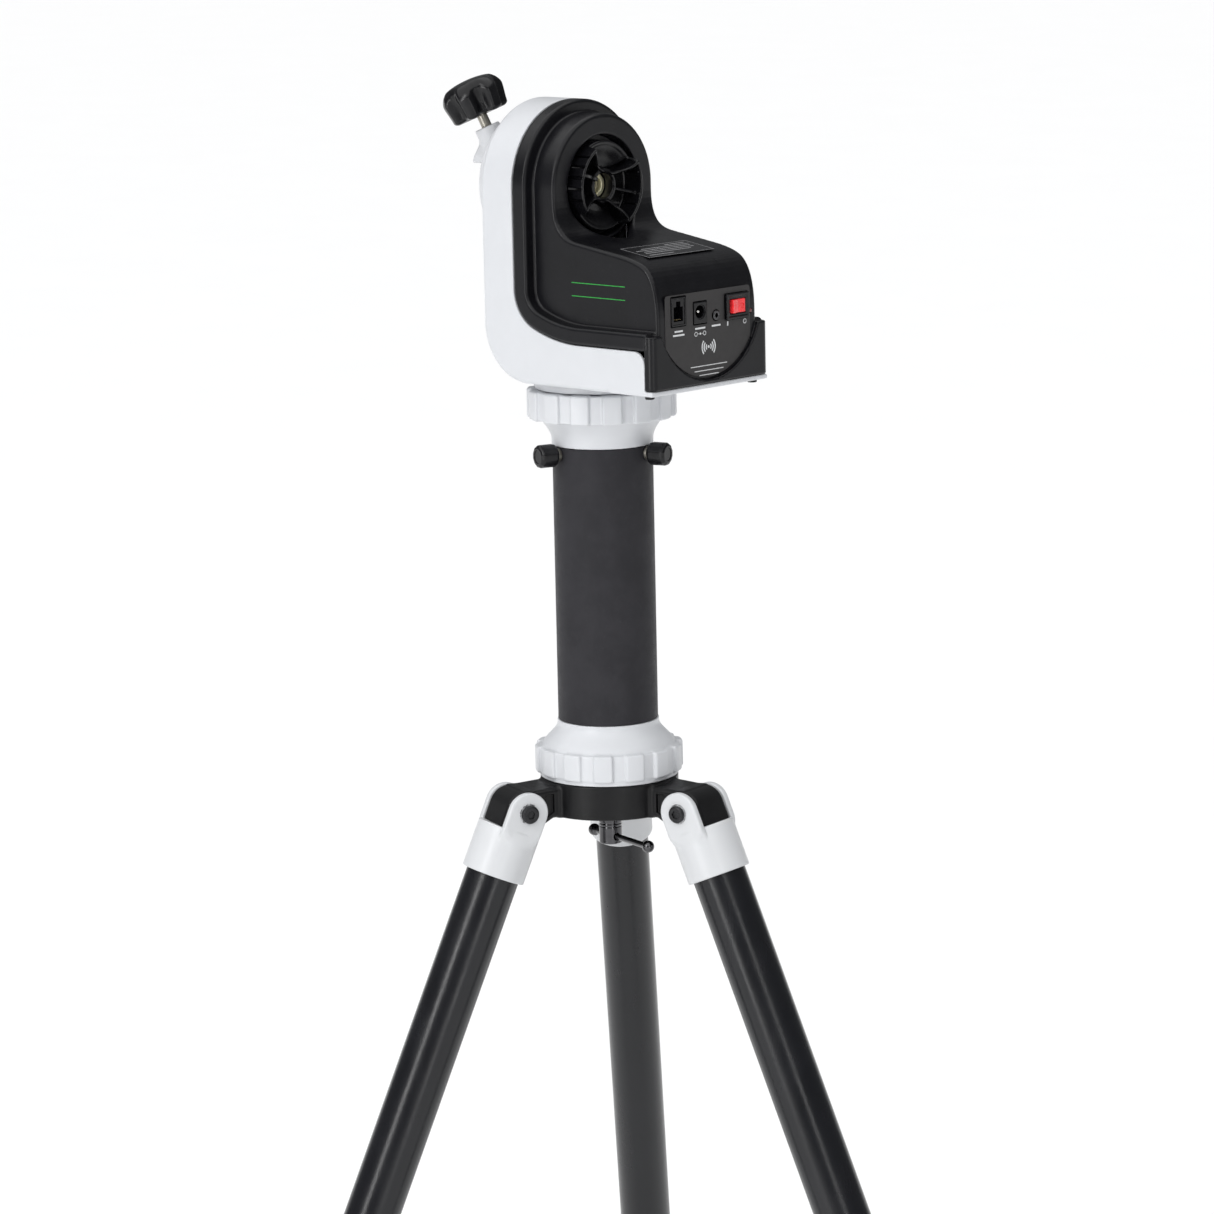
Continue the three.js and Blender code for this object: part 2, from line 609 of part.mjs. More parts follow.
function wormWheel() {
  const { teeth, tip, root, width } = WHEEL;
  const bore = bar("z", SHAFT_RADIUS + GAP, -width, width, 0, 0, ROUND);
  return prism(lobedOutline(teeth, tip, root, 0.5, 0.45), "z", -width / 2, width / 2).subtract(bore);
}

function worm() {
  const { radius, thread, pitch, length, stub } = WORM;
  const shaft = bar("z", 2.4, -stub, length + stub, 0, 0, SMALL);
  return threadedBar(radius, thread, pitch, length, 8, 3).add(shaft).translate([0, 0, -length / 2]);
}

function gearMotor() {
  const body = bar("z", 10.6, 0, 19.5, 0, 0, ROUND);
  return joined(body, bar("z", 4, 19, 21.5, 0, 0, SMALL));
}

function turnedTo(solid, axis) {
  const turns = { x: [0, 90, 0], y: [-90, 0, 0], z: [0, 0, 0] };
  return solid.rotate(turns[axis]);
}

function controlBoard() {
  const board = block(20, 66, -34, 34, 46, 47.6);
  const chips = [[30, -20, 9], [44, 6, 12], [56, 22, 7]];
  return chips.reduce(
    (whole, [x, y, size]) => whole.add(block(x, x + size, y - size / 2, y + size / 2, 47, 50)),
    board,
  );
}

function batteryCase() {
  const tray = block(32, 84, -28, 28, 10, 38);
  let hollow = null;
  for (const row of [-21, -7, 7, 21]) {
    const cell = block(34, 82, row - 6.4, row + 6.4, 12, 40);
    hollow = hollow ? hollow.add(cell) : cell;
  }
  return tray.subtract(hollow);
}

function handControlSocket() {
  const { y, z, width, height, depth } = SOCKETS.handControl;
  const front = FRONT.panel + 0.8;
  const mouth = block(front - 9, front + 1, y - 4.2, y + 4.2, z - 6, z + 3);
  const latch = block(front - 9, front + 1, y - 2, y + 2, z + 2, z + 6.4);
  const body = block(front - depth, front, y - width / 2, y + width / 2, z - height / 2, z + height / 2);
  return body.subtract(mouth).subtract(latch);
}

function powerSocket() {
  const { y, z, width, height, depth } = SOCKETS.power;
  const front = FRONT.panel + 0.8;
  const body = block(front - depth, front, y - width / 2, y + width / 2, z - height / 2, z + height / 2);
  const hole = bar("x", 4, front - 9, front + 1, y, z + 0.6, SMALL);
  const pin = bar("x", 1.1, front - 9.5, front - 1.5, y, z + 0.6, 8);
  return body.subtract(hole).add(pin);
}

function snapSocket() {
  const { y, z, radius, bore } = SOCKETS.snap;
  const front = FRONT.panel + 1;
  const body = bar("x", radius, front - 10, front, y, z, SMALL);
  return body.subtract(bar("x", bore, front - 7, front + 1, y, z, SMALL));
}

function switchBody() {
  const { y, z, width, height, depth } = SOCKETS.rocker;
  const face = FRONT.panel + GAP;
  const bezel = block(face, face + 2, y - width / 2, y + width / 2, z - height / 2, z + height / 2);
  const half = [width / 2 - 1.2, height / 2 - 1.2];
  const body = block(face - depth, face + 0.5, y - half[0], y + half[0], z - half[1], z + half[1]);
  const well = block(face - 10, face + 5, y - 7.4, y + 7.4, z - 4.7, z + 4.7);
  return joined(bezel, body).subtract(well);
}

// The rocker rests with one end pressed in, and turns about an upright pin through its middle.
const ROCKER = { rest: 8, pin: FRONT.panel - 1.4, pinRadius: 2.6, half: 6.5, height: 4.3 };

function rocker() {
  const { half, height, pinRadius } = ROCKER;
  const paddle = outline([[-half, -0.4], [half, -0.4], [half, 4.2], [0, 3.2], [-half, 4.2]]);
  const boss = bar("z", pinRadius, -height, height, 0, 0, SMALL);
  return joined(prism(paddle, "z", -height, height), boss).rotate([0, 0, -90]);
}

// ---------------------------------------------------------------- altitude axis, clutch and saddle

const SHAFT_FLANGE = { radius: 14.5, from: -58.6, to: -52.2 };

function altitudeShaft() {
  return joined(
    bar("x", SHAFT_RADIUS, SHAFT_FLANGE.to - 1.4, -9, 0, 0, ROUND),
    bar("x", 4.6, -10, -4, 0, 0, SMALL),
    bar("x", SHAFT_FLANGE.radius, SHAFT_FLANGE.from, SHAFT_FLANGE.to, 0, 0, ROUND),
  );
}

function clutchSleeve() {
  return ringAlong("x", 4.9, 7.9, -8.7, -1, 0, 0);
}

// A ribbed wheel with two finger scoops, a curved wall along each of them and a fin on each side of the hub.
function clutchKnob() {
  const { radius, rib, ribs, rim, pocket, from, to, hub, hubTop, bore } = CLUTCH;
  const { turn, scoopRadius, scoopAt, scoopFloor, wall, wallTop, finWidth, finTop } = CLUTCH;
  const ring = prism(lobedOutline(ribs, radius, radius - rib, 0.75, 0.2), "x", from, to);
  const well = bar("x", rim, pocket, to + 1);
  const inside = bar("x", rim + 1, from + 1, to);
  let knob = ring.subtract(well);
  for (const side of [-1, 1]) {
    const at = side * scoopAt;
    const cut = bar("x", scoopRadius, scoopFloor, to + 1, 0, at, FINE);
    const outer = bar("x", scoopRadius + wall / 2, from + 1, wallTop, 0, at, FINE);
    const inner = bar("x", scoopRadius - wall / 2, from, wallTop + 1, 0, at, FINE);
    knob = knob.subtract(cut.rotate([turn, 0, 0]));
    knob = knob.add(outer.subtract(inner).intersect(inside).rotate([turn, 0, 0]));
  }
  const fin = block(from + 1, finTop, -rim - 0.5, rim + 0.5, -finWidth / 2, finWidth / 2);
  knob = joined(knob, fin.rotate([turn, 0, 0]), bar("x", hub, from, hubTop, 0, 0, ROUND));
  return knob.subtract(bar("x", bore, from - 1, to + 1, 0, 0, ROUND));
}

function alongScrew(solid) {
  const { offset, lean, x, h } = SADDLE_SCREW;
  return solid.rotate([0, -lean, 0]).translate([x, offset, h]);
}

// A round plate carries an upper and a lower lip. Between them a dovetail bar 44 mm wide at its root is
// gripped, by the lower lip and a moving jaw under the upper one.
function saddleBlock() {
  const { back, seat, outer, radius } = SADDLE;
  const { low, lowMouth, high, highMouth, lip } = CHANNEL;
  const plate = bar("x", radius, seat, back, 0, 0, FINE);
  const upper = outline([
    [-28.4, 17], [28.4, 17], [28.4, 21.5], [26.6, 24.5], [15, 34], [-15, 34], [-26.6, 24.5], [-28.4, 21.5],
  ]);
  const lower = outline([[-26, -17], [-26, -24], [-16, -34], [16, -34], [26, -24], [26, -17]]);
  const channel = outline([
    [outer - 1, lowMouth], [seat, low], [seat, high], [lip, high], [lip, highMouth], [outer - 1, highMouth],
  ]);
  const boss = alongScrew(bar("z", 8.5, -12, 0, 0, 0, ROUND)).subtract(block(-100, outer, -60, 60, -60, 60));
  const thread = alongScrew(bar("z", SADDLE_SCREW.radius + GAP, -32, 5, 0, 0, SMALL));
  const flange = bar("x", SHAFT_FLANGE.radius + GAP, SHAFT_FLANGE.from - GAP, back + 1, 0, 0, ROUND);
  const bolt = bar("x", 3.3, seat - 1, back, 0, 0, SMALL);
  return joined(plate, prism(upper, "x", outer, seat + 1), prism(lower, "x", outer, seat + 1), boss)
    .subtract(sidePrism(channel, -60, 60))
    .subtract(thread)
    .subtract(flange)
    .subtract(bolt);
}

function saddleJaw() {
  const shape = outline([[-69.6, 20.4], [-61.8, 20.4], [-61.8, 23.7], [-69.9, 23.7]]);
  return sidePrism(shape, -24, 24);
}

const SCREW_STEM = 17;

function saddleScrew() {
  const { radius, pitch, turns } = SADDLE_SCREW;
  const depth = 0.5;
  const top = 0.5;
  const thread = threadedBar(radius, depth, pitch, pitch * turns, 8, 2).translate([0, 0, top - pitch * turns]);
  const stem = bar("z", radius - depth, top - 0.2, SCREW_STEM, 0, 0, SMALL);
  return joined(thread, stem);
}

function starKnob() {
  const { radius, valley, lobes, from, to, bottomRadius } = STAR_KNOB;
  const shape = new THREE.Shape();
  const [tip, side] = [0.22, radius - 0.8];
  const at = (part, r) => {
    const angle = (2 * Math.PI * part) / lobes;
    return [r * Math.cos(angle), r * Math.sin(angle)];
  };
  shape.moveTo(...at(-tip, side));
  for (let i = 0; i < lobes; i += 1) {
    shape.quadraticCurveTo(...at(i, radius + 1), ...at(i + tip, side));
    shape.quadraticCurveTo(...at(i + 0.5, valley - 4.5), ...at(i + 1 - tip, side));
  }
  const grip = prism(shape, "z", from, to, 5);
  const crown = turned([
    [0, from], [bottomRadius, from], [radius + 0.5, from + 5], [radius + 0.5, to - 11], [16, to - 3], [0, to],
  ], "z", ROUND);
  const socket = bar("z", SADDLE_SCREW.radius - 0.5 + GAP, from - 1, SCREW_STEM + 0.4, 0, 0, SMALL);
  return grip.intersect(crown).subtract(socket);
}

// ---------------------------------------------------------------- azimuth bearing

function azimuthBase() {
  return turned([[12.3, -6], [42.8, -6], [42.8, -1.2], [42.2, -0.6], [12.3, -0.6]]);
}

function azimuthSpindle() {
  const bore = 4.8;
  const nut = bore - 2;
  return turned([
    [bore, -6], [12, -6], [12, -0.6], [SHAFT_RADIUS, -0.6],
    [SHAFT_RADIUS, 30], [nut, 30], [nut, 8], [bore, 8],
  ], "z", ROUND);
}

// ---------------------------------------------------------------- assembly

const part = new THREE.Group();

function addTripod() {
  place(part, "tripod_hub", tripodHub(), "black");
  LEG_DIRECTIONS.forEach((direction, i) => addLeg(part, i + 1, direction));
  place(part, "clamp_bolt", clampBolt(), "chrome");
  const barGroup = new THREE.Group();
  barGroup.position.set(0, 0, CLAMP_BOLT.barZ);
  barGroup.rotation.z = radians(TOMMY_BAR.direction);
  place(barGroup, "tommy_bar", tommyBar(), "chrome");
  part.add(barGroup);
}

function addPillar() {
  place(part, "pillar_lower_collar", lowerCollar(), "white");
  place(part, "pillar_tube", pillarTube(), "pillar");
  place(part, "pillar_upper_collar", upperCollar(), "white");
  place(part, "head_bolt", headBolt(), "steel");
  for (let i = 0; i < 3; i += 1) {
    const screw = new THREE.Group();
    screw.position.set(0, 0, THUMB.z);
    screw.rotation.z = radians(THUMB.start + 120 * i);
    place(screw, `pillar_thumbscrew_${i + 1}`, pillarThumbscrew(), "black");
    part.add(screw);
  }
}

function addHead() {
  const head = new THREE.Group();
  head.position.set(0, 0, HEAD_Z);
  place(head, "azimuth_base", azimuthBase(), "white");
  place(head, "azimuth_spindle", azimuthSpindle(), "steel");
  place(head, "azimuth_worm_wheel", wormWheel().translate([0, 0, AZIMUTH_WHEEL_Z]), "brass");
  place(head, "rear_shell", rearShell(), "white");
  place(head, "front_cover", frontCover(), "black");
  place(head, "inner_frame", innerFrame(), "silver");
  place(head, "azimuth_bearing", ringAlong("z", SHAFT_RADIUS + GAP, 17, 3.8, 9, 0, 0), "silver");
  const bearing = (from, to) => ringAlong("x", SHAFT_RADIUS + GAP, 16.7, from, to, 0, AXIS_H);
  place(head, "altitude_bearing_front", bearing(-15.3, -11.7), "silver");
  place(head, "altitude_bearing_rear", bearing(-42.8, -39.2), "silver");
  const wormZ = AXIS_H - WORM_DISTANCE;
  place(head, "altitude_worm", turnedTo(worm(), "y").translate([ALTITUDE_WHEEL_X, 0, wormZ]), "steel");
  place(head, "azimuth_worm", turnedTo(worm(), "x").translate([0, WORM_DISTANCE, AZIMUTH_WHEEL_Z]), "steel");
  const motor = gearMotor();
  const motorAt = WORM.length / 2 + WORM.stub + GAP;
  place(head, "altitude_motor", turnedTo(motor, "y").translate([ALTITUDE_WHEEL_X, motorAt, wormZ]), "steel");
  place(head, "azimuth_motor", turnedTo(motor, "x").rotate([0, 0, 180])
    .translate([-motorAt, WORM_DISTANCE, AZIMUTH_WHEEL_Z]), "steel");
  place(head, "control_board", controlBoard(), "green");
  place(head, "battery_case", batteryCase(), "black");
  place(head, "hand_control_socket", handControlSocket(), "black");
  place(head, "power_socket", powerSocket(), "black");
  place(head, "snap_socket", snapSocket(), "brass");
  place(head, "switch_body", switchBody(), "black");
  const rockerGroup = new THREE.Group();
  rockerGroup.position.set(ROCKER.pin, SOCKETS.rocker.y, SOCKETS.rocker.z);
  rockerGroup.rotation.z = radians(ROCKER.rest);
  place(rockerGroup, "rocker", rocker(), "red");
  head.add(rockerGroup);
  addAltitudeAxis(head);
  part.add(head);
}

function addAltitudeAxis(head) {
  const axis = new THREE.Group();
  axis.position.set(0, 0, AXIS_H);
  place(axis, "altitude_shaft", altitudeShaft(), "steel");
  const wheel = turnedTo(wormWheel(), "x").translate([ALTITUDE_WHEEL_X, 0, 0]);
  place(axis, "altitude_worm_wheel", wheel, "brass");
  place(axis, "clutch_sleeve", clutchSleeve(), "brass");
  place(axis, "clutch_knob", clutchKnob(), "black");
  const saddle = new THREE.Group();
  saddle.rotation.x = radians(SADDLE.tilt);
  place(saddle, "saddle", saddleBlock(), "white");
  place(saddle, "saddle_jaw", saddleJaw(), "silver");
  place(saddle, "saddle_screw", alongScrew(saddleScrew()), "steel");
  place(saddle, "saddle_knob", alongScrew(starKnob()), "black");
  axis.add(saddle);
  head.add(axis);
}

addTripod();
addPillar();
addHead();

// The origin is the middle of the object's box, on the floor.
part.updateMatrixWorld(true);
const box = new THREE.Box3().setFromObject(part, true);
const centre = box.getCenter(new THREE.Vector3());
part.position.set(-centre.x, -centre.y, -box.min.z);

export default part;
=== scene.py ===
"""Visual model of a motorised altazimuth telescope mount on a pillar and tripod, built on the CAD frame."""
import math

import bpy
import numpy as np
from mathutils import Matrix, Vector


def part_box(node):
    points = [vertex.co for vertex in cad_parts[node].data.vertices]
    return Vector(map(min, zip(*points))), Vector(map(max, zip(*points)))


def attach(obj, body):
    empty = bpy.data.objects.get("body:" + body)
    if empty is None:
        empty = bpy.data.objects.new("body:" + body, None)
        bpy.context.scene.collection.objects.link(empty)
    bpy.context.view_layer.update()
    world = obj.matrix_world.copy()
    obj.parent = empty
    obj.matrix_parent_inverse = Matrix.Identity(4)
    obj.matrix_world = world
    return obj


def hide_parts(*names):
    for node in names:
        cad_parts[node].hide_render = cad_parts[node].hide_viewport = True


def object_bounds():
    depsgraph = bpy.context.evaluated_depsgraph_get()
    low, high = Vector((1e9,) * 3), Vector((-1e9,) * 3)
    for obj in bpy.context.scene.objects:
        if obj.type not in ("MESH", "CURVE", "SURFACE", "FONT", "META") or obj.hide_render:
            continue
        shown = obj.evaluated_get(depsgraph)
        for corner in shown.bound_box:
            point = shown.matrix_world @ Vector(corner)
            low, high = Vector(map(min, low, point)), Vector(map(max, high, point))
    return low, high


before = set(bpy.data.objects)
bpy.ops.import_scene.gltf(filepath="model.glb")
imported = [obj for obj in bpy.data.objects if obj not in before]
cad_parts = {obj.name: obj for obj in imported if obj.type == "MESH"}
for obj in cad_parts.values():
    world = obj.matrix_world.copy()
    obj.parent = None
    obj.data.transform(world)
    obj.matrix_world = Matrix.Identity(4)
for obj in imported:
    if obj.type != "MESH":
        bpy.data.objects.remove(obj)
cad_low, cad_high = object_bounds()

# ---- places: AXIS_X, AXIS_Y and HEAD_FLOOR are in metres, other lengths in millimetres and angles in degrees

MM = 0.001
PILLAR_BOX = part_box("pillar_tube")
AXIS_X = (PILLAR_BOX[0].x + PILLAR_BOX[1].x) / 2
AXIS_Y = (PILLAR_BOX[0].y + PILLAR_BOX[1].y) / 2
HEAD_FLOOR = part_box("rear_shell")[0].z
AXIS_H = 123
LEG_DIRECTIONS = [8.5, 128.5, 248.5]
LEG_SPLAY = 23
LEG_PIVOT = (67, 590)
SADDLE_TILT = 14
SCREW_PLACE = (-74.5, -14, 40.8)
SCREW_LEAN = 19
CLUTCH_TURN = -14
BAR_HEIGHT = 564.4
BAR_TURN = -12.5
CLAMP_SCREW_DROP = 500
PIVOT_HOLE = 4.2


def spin(degrees, axis):
    return Matrix.Rotation(math.radians(degrees), 4, axis)


STAND = Matrix.Translation((AXIS_X, AXIS_Y, 0)) @ Matrix.Scale(MM, 4)
HEAD = Matrix.Translation((AXIS_X, AXIS_Y, HEAD_FLOOR)) @ Matrix.Scale(MM, 4)
AXLE = HEAD @ Matrix.Translation((0, 0, AXIS_H))
SADDLE = AXLE @ spin(SADDLE_TILT, "X")
SCREW = SADDLE @ Matrix.Translation(SCREW_PLACE) @ spin(-SCREW_LEAN, "Y")


def leg_matrix(direction):
    """The leg's own frame: the pivot is the origin, the leg runs down -Z and +X points away from the pillar."""
    out, up = LEG_PIVOT
    return STAND @ spin(direction, "Z") @ Matrix.Translation((out, 0, up)) @ spin(-LEG_SPLAY, "Y")


# ---- camera, light and floor, in metres

CAMERA_TURN = (43.5, 10.6, 1.2)
CAMERA_TARGET = (AXIS_X, AXIS_Y, 0.716)
CAMERA_DISTANCE = 3.0
CAMERA_SHIFT = 0.00065
CAMERA_LENS = 137.135
SENSOR = 36
FLOOR_REACH = 60.0
SQUARE = ((-1, -1), (1, -1), (1, 1), (-1, 1))


def added(name, data):
    """A new object in the scene."""
    made = bpy.data.objects.new(name, data)
    bpy.context.scene.collection.objects.link(made)
    return made


def camera():
    """The camera at the photograph's viewing angle."""
    azimuth, elevation, roll = (math.radians(v) for v in CAMERA_TURN)
    ce, se = math.cos(elevation), math.sin(elevation)
    back = Vector((math.sin(azimuth) * ce, -math.cos(azimuth) * ce, se))
    right = Vector((math.cos(azimuth), math.sin(azimuth), 0))
    up = back.cross(right)
    cr, sr = math.cos(roll), math.sin(roll)
    right, up = right * cr - up * sr, up * cr + right * sr
    data = bpy.data.cameras.new("camera")
    data.sensor_width = SENSOR
    data.lens = CAMERA_LENS
    data.clip_start, data.clip_end = 0.05, 200
    made = added("camera", data)
    turn = Matrix((right, up, back)).transposed().to_4x4()
    place = Vector(CAMERA_TARGET) + back * CAMERA_DISTANCE + right * CAMERA_SHIFT
    made.matrix_world = Matrix.Translation(place) @ turn
    bpy.context.scene.camera = made
    return right, back


def area_light(name, place, target, size, power):
    data = bpy.data.lights.new(name, "AREA")
    data.shape = "RECTANGLE"
    data.size, data.size_y = size
    data.energy = power
    made = added(name, data)
    made.location = place
    made.rotation_euler = (target - place).to_track_quat("-Z", "Y").to_euler()


def studio(right, back):
    """A wide soft sky light, soft boxes either side of the camera, a dim world and a pale floor."""
    bpy.context.scene.view_settings.view_transform = "Standard"
    world = bpy.data.worlds.new("studio")
    world.use_nodes = True
    filled(world.node_tree.nodes["Background"], Color=(0.96, 0.98, 1.0, 1), Strength=0.18)
    bpy.context.scene.world = world
    sky = bpy.data.lights.new("sky", "SUN")
    sky.energy = 2.92
    sky.angle = math.radians(110)
    sky_at = added("sky", sky)
    front = Vector((back.x, back.y, 0)).normalized()
    above = Vector((0, 0, 1))
    sky_at.rotation_euler = (front * 0.25 - right * 0.15 + above).to_track_quat("Z", "Y").to_euler()
    middle = Vector((AXIS_X, AXIS_Y, 0.75))
    area_light("key_left", middle - right * 1.35 + front * 1.5 + above * 0.45, middle, (0.16, 2.0), 16)
    area_light("fill_front", middle + right * 0.8 + front * 2.3 + above * 0.1, middle, (0.12, 1.4), 5)
    mesh = bpy.data.meshes.new("floor")
    mesh.from_pydata([(u * FLOOR_REACH, v * FLOOR_REACH, 0) for u, v in SQUARE], [], [(0, 1, 2, 3)])
    floor = added("floor", mesh)
    floor.location.z = cad_low.z - 0.0002
    mesh.materials.append(finish_of("floor", (0.965, 0.965, 0.965), 0.8, 0.0015, 3, specular=0.2))


# ---- materials


def filled(node, **values):
    """Sets a node's sockets, named with an underscore for each space, and returns the node."""
    for socket, value in values.items():
        node.inputs[socket.replace("_", " ")].default_value = value
    return node


def finish_of(
    name, colour, roughness, speckle, scale, grain=0.0, grain_scale=0, metallic=0.0, coat=0.0, rough_spread=0.05,
    brushed=None, dust=0.0, edge=None, specular=0.5,
):
    """A procedural finish: cloudy colour and gloss, fine grain, and lighter worn or dusty patches.

    Speckle is how far the colour wanders and scale is how finely. Grain is a bump's strength.
    """
    material = bpy.data.materials.new(name)
    material.use_nodes = True
    nodes, links = material.node_tree.nodes, material.node_tree.links
    shader = nodes["Principled BSDF"]
    filled(shader, Metallic=metallic, Specular_IOR_Level=specular)
    if coat:
        filled(shader, Coat_Weight=coat, Coat_Roughness=0.12)
    where = nodes.new("ShaderNodeTexCoord").outputs["Object"]

    def noise(size, detail=4, stretch=None):
        made = filled(nodes.new("ShaderNodeTexNoise"), Scale=size, Detail=detail, Roughness=0.6)
        source = where
        if stretch:
            mapping = filled(nodes.new("ShaderNodeMapping"), Scale=stretch)
            links.new(where, mapping.inputs["Vector"])
            source = mapping.outputs["Vector"]
        links.new(source, made.inputs["Vector"])
        return made.outputs["Fac"]

    def ramp(fac, low, high, first, last):
        made = filled(nodes.new("ShaderNodeMapRange"), From_Min=low, From_Max=high, To_Min=first, To_Max=last)
        made.interpolation_type = "SMOOTHSTEP"
        links.new(fac, made.inputs["Value"])
        return made.outputs["Result"]

    def mix(fac, a, b):
        made = nodes.new("ShaderNodeMix")
        made.data_type = "RGBA"
        links.new(fac, made.inputs["Factor"])
        for socket, value in ((made.inputs["A"], a), (made.inputs["B"], b)):
            if isinstance(value, tuple):
                socket.default_value = (*value, 1)
            else:
                links.new(value, socket)
        return made.outputs["Result"]

    dark = tuple(max(c * (1 - speckle * 2), 0) for c in colour)
    light = tuple(min(c * (1 + speckle * 2), 1) for c in colour)
    tone = mix(ramp(noise(scale), 0.3, 0.7, 0, 1), dark, light)
    if dust:
        tone = mix(ramp(noise(scale * 7, 6), 0.62, 0.8, 0, dust), tone, tuple(0.6 * c + 0.25 for c in colour))
    if edge:
        worn = nodes.new("ShaderNodeNewGeometry").outputs["Pointiness"]
        tone = mix(ramp(worn, 0.53, 0.62, 0, 1), tone, edge)
    links.new(tone, shader.inputs["Base Color"])
    smear = noise(scale * 2.7, 5, brushed)
    links.new(ramp(smear, 0.25, 0.75, roughness - rough_spread, roughness + rough_spread), shader.inputs["Roughness"])
    if grain:
        bump = filled(nodes.new("ShaderNodeBump"), Strength=grain, Distance=0.0002)
        links.new(noise(grain_scale, 3, brushed), bump.inputs["Height"])
        links.new(bump.outputs["Normal"], shader.inputs["Normal"])
    return material


# Every finish by name. See finish_of for the numbers' order.
FINISHES = {
    "white": finish_of("white_plastic", (0.575, 0.587, 0.61), 0.36, 0.006, 45, 0.12, 1400, dust=0.03),
    "coat": finish_of("saddle_coat", (0.575, 0.585, 0.605), 0.38, 0.006, 40, 0.14, 1200, dust=0.03),
    "enamel": finish_of("white_enamel", (0.575, 0.585, 0.60), 0.34, 0.004, 50, 0.08, 900, rough_spread=0.015),
    "cover": finish_of("black_moulding", (0.0042, 0.0042, 0.0056), 0.31, 0.08, 40, 0.2, 2600, specular=0.27,
                       rough_spread=0.04, dust=0.03),
    "knob": finish_of("black_knob", (0.0045, 0.0045, 0.0055), 0.22, 0.1, 90, 0.16, 1800, specular=0.3, dust=0.05),
    "pillar": finish_of("pillar_coat", (0.029, 0.0284, 0.032), 0.42, 0.05, 50, 0.75, 2200, specular=0.08,
                        dust=0.05),
    "hub": finish_of("hub_coat", (0.006, 0.006, 0.0066), 0.33, 0.08, 60, 0.3, 1500, specular=0.22, dust=0.04,
                     edge=(0.02, 0.02, 0.0215)),
    "leg": finish_of("leg_coat", (0.0058, 0.0061, 0.008), 0.24, 0.06, 25, 0.25, 1800, specular=0.4,
                     brushed=(1, 1, 0.15)),
    "label": finish_of("printed_film", (0.030, 0.0285, 0.029), 0.42, 0.03, 120, 0.1, 3000, specular=0.3),
    "plate": finish_of("top_label_film", (0.0105, 0.0105, 0.0118), 0.3, 0.05, 150, 0.08, 3000, specular=0.3),
    "print": finish_of("white_print", (0.62, 0.63, 0.64), 0.5, 0.05, 500, 0.1, 4000, dust=0.1),
    "faded_print": finish_of("faded_print", (0.30, 0.30, 0.31), 0.5, 0.1, 400, 0.1, 4000),
    "green_print": finish_of("green_print", (0.012, 0.30, 0.035), 0.45, 0.08, 500, 0.1, 4000),
    "red": finish_of("red_rocker", (0.86, 0.026, 0.032), 0.26, 0.05, 200, 0.05, 900, coat=0.15),
    "lamp": finish_of("lamp_lens", (0.10, 0.006, 0.008), 0.15, 0.1, 400, coat=0.6),
    "contact": finish_of("nickel_contact", (0.72, 0.71, 0.68), 0.22, 0.03, 400, 0.1, 3000, metallic=1),
    "gilt": finish_of("gilt_contact", (0.86, 0.66, 0.32), 0.25, 0.05, 400, metallic=1),
    # The brass colour is paler and lighter than bare brass: a painted highlight standing in for the bright glint in
    # the clutch sleeve's bore.
    "brass": finish_of("turned_brass", (1.0, 0.9, 0.64), 0.5, 0.05, 120, 0.15, 900, metallic=1, brushed=(8, 1, 1)),
    "steel": finish_of("machined_steel", (0.30, 0.285, 0.25), 0.34, 0.08, 150, 0.2, 1200, metallic=1),
    "bright": finish_of("bare_aluminium", (0.66, 0.67, 0.69), 0.34, 0.04, 100, 0.2, 1000, metallic=1,
                        brushed=(1, 6, 1)),
    "chrome": finish_of("dark_chrome", (0.065, 0.064, 0.068), 0.13, 0.08, 120, 0.06, 1500, metallic=1, coat=0.5),
    "bolt": finish_of("black_oxide", (0.03, 0.03, 0.032), 0.3, 0.1, 250, 0.15, 2500, metallic=0.8),
    "rubber": finish_of("rubber", (0.016, 0.016, 0.0165), 0.72, 0.12, 120, 0.6, 1500, dust=0.12, specular=0.3),
    "board": finish_of("circuit_board", (0.012, 0.09, 0.035), 0.4, 0.15, 180, 0.2, 1500),
}

# ---- distance fields
# A field is negative inside the solid. Coordinates are arrays of any shapes that fit together.


def both(a, b, r=0.0):
    """Where both solids are, with the new edges rounded by r."""
    if np.isscalar(r) and r == 0:
        return np.maximum(a, b)
    return np.minimum(np.maximum(a, b), -r) + np.hypot(np.maximum(a + r, 0), np.maximum(b + r, 0))


def either(a, b, r=0.0):
    """Where either solid is, with the new corners filled by a fillet of r."""
    return -both(-a, -b, r)


def without(a, b, r=0.0):
    return both(a, -b, r)


def span(v, low, high):
    return np.abs(v - (low + high) / 2) - (high - low) / 2


def rod(u, v, radius):
    return np.hypot(u, v) - radius


def brick(x, y, z, low, high, r=0.5):
    """A box with rounded edges and corners."""
    parts = [span(c, a + r, b - r) for c, a, b in zip((x, y, z), low, high)]
    outside = np.sqrt(sum(np.maximum(p, 0) ** 2 for p in parts))
    inside = np.minimum(np.maximum(np.maximum(parts[0], parts[1]), parts[2]), 0)
    return outside + inside - r


def corner(u, v, r):
    """The region u > 0, v > 0 with its corner rounded by r."""
    a, b = r - u, r - v
    return np.minimum(np.maximum(a, b), 0) + np.hypot(np.maximum(a, 0), np.maximum(b, 0)) - r


def polygon(u, v, points):
    """Distance to a closed outline."""
    near = None
    sign = 1.0
    count = len(points)
    for i in range(count):
        (au, av), (bu, bv) = points[i], points[(i + 1) % count]
        eu, ev = bu - au, bv - av
        wu, wv = u - au, v - av
        share = np.clip((wu * eu + wv * ev) / (eu * eu + ev * ev), 0, 1)
        gap = (wu - share * eu) ** 2 + (wv - share * ev) ** 2
        near = gap if near is None else np.minimum(near, gap)
        above, below, left = v >= av, v < bv, eu * wv > ev * wu
        flip = (above & below & left) | (~above & ~below & ~left)
        sign = np.where(flip, -sign, sign)
    return sign * np.sqrt(near)


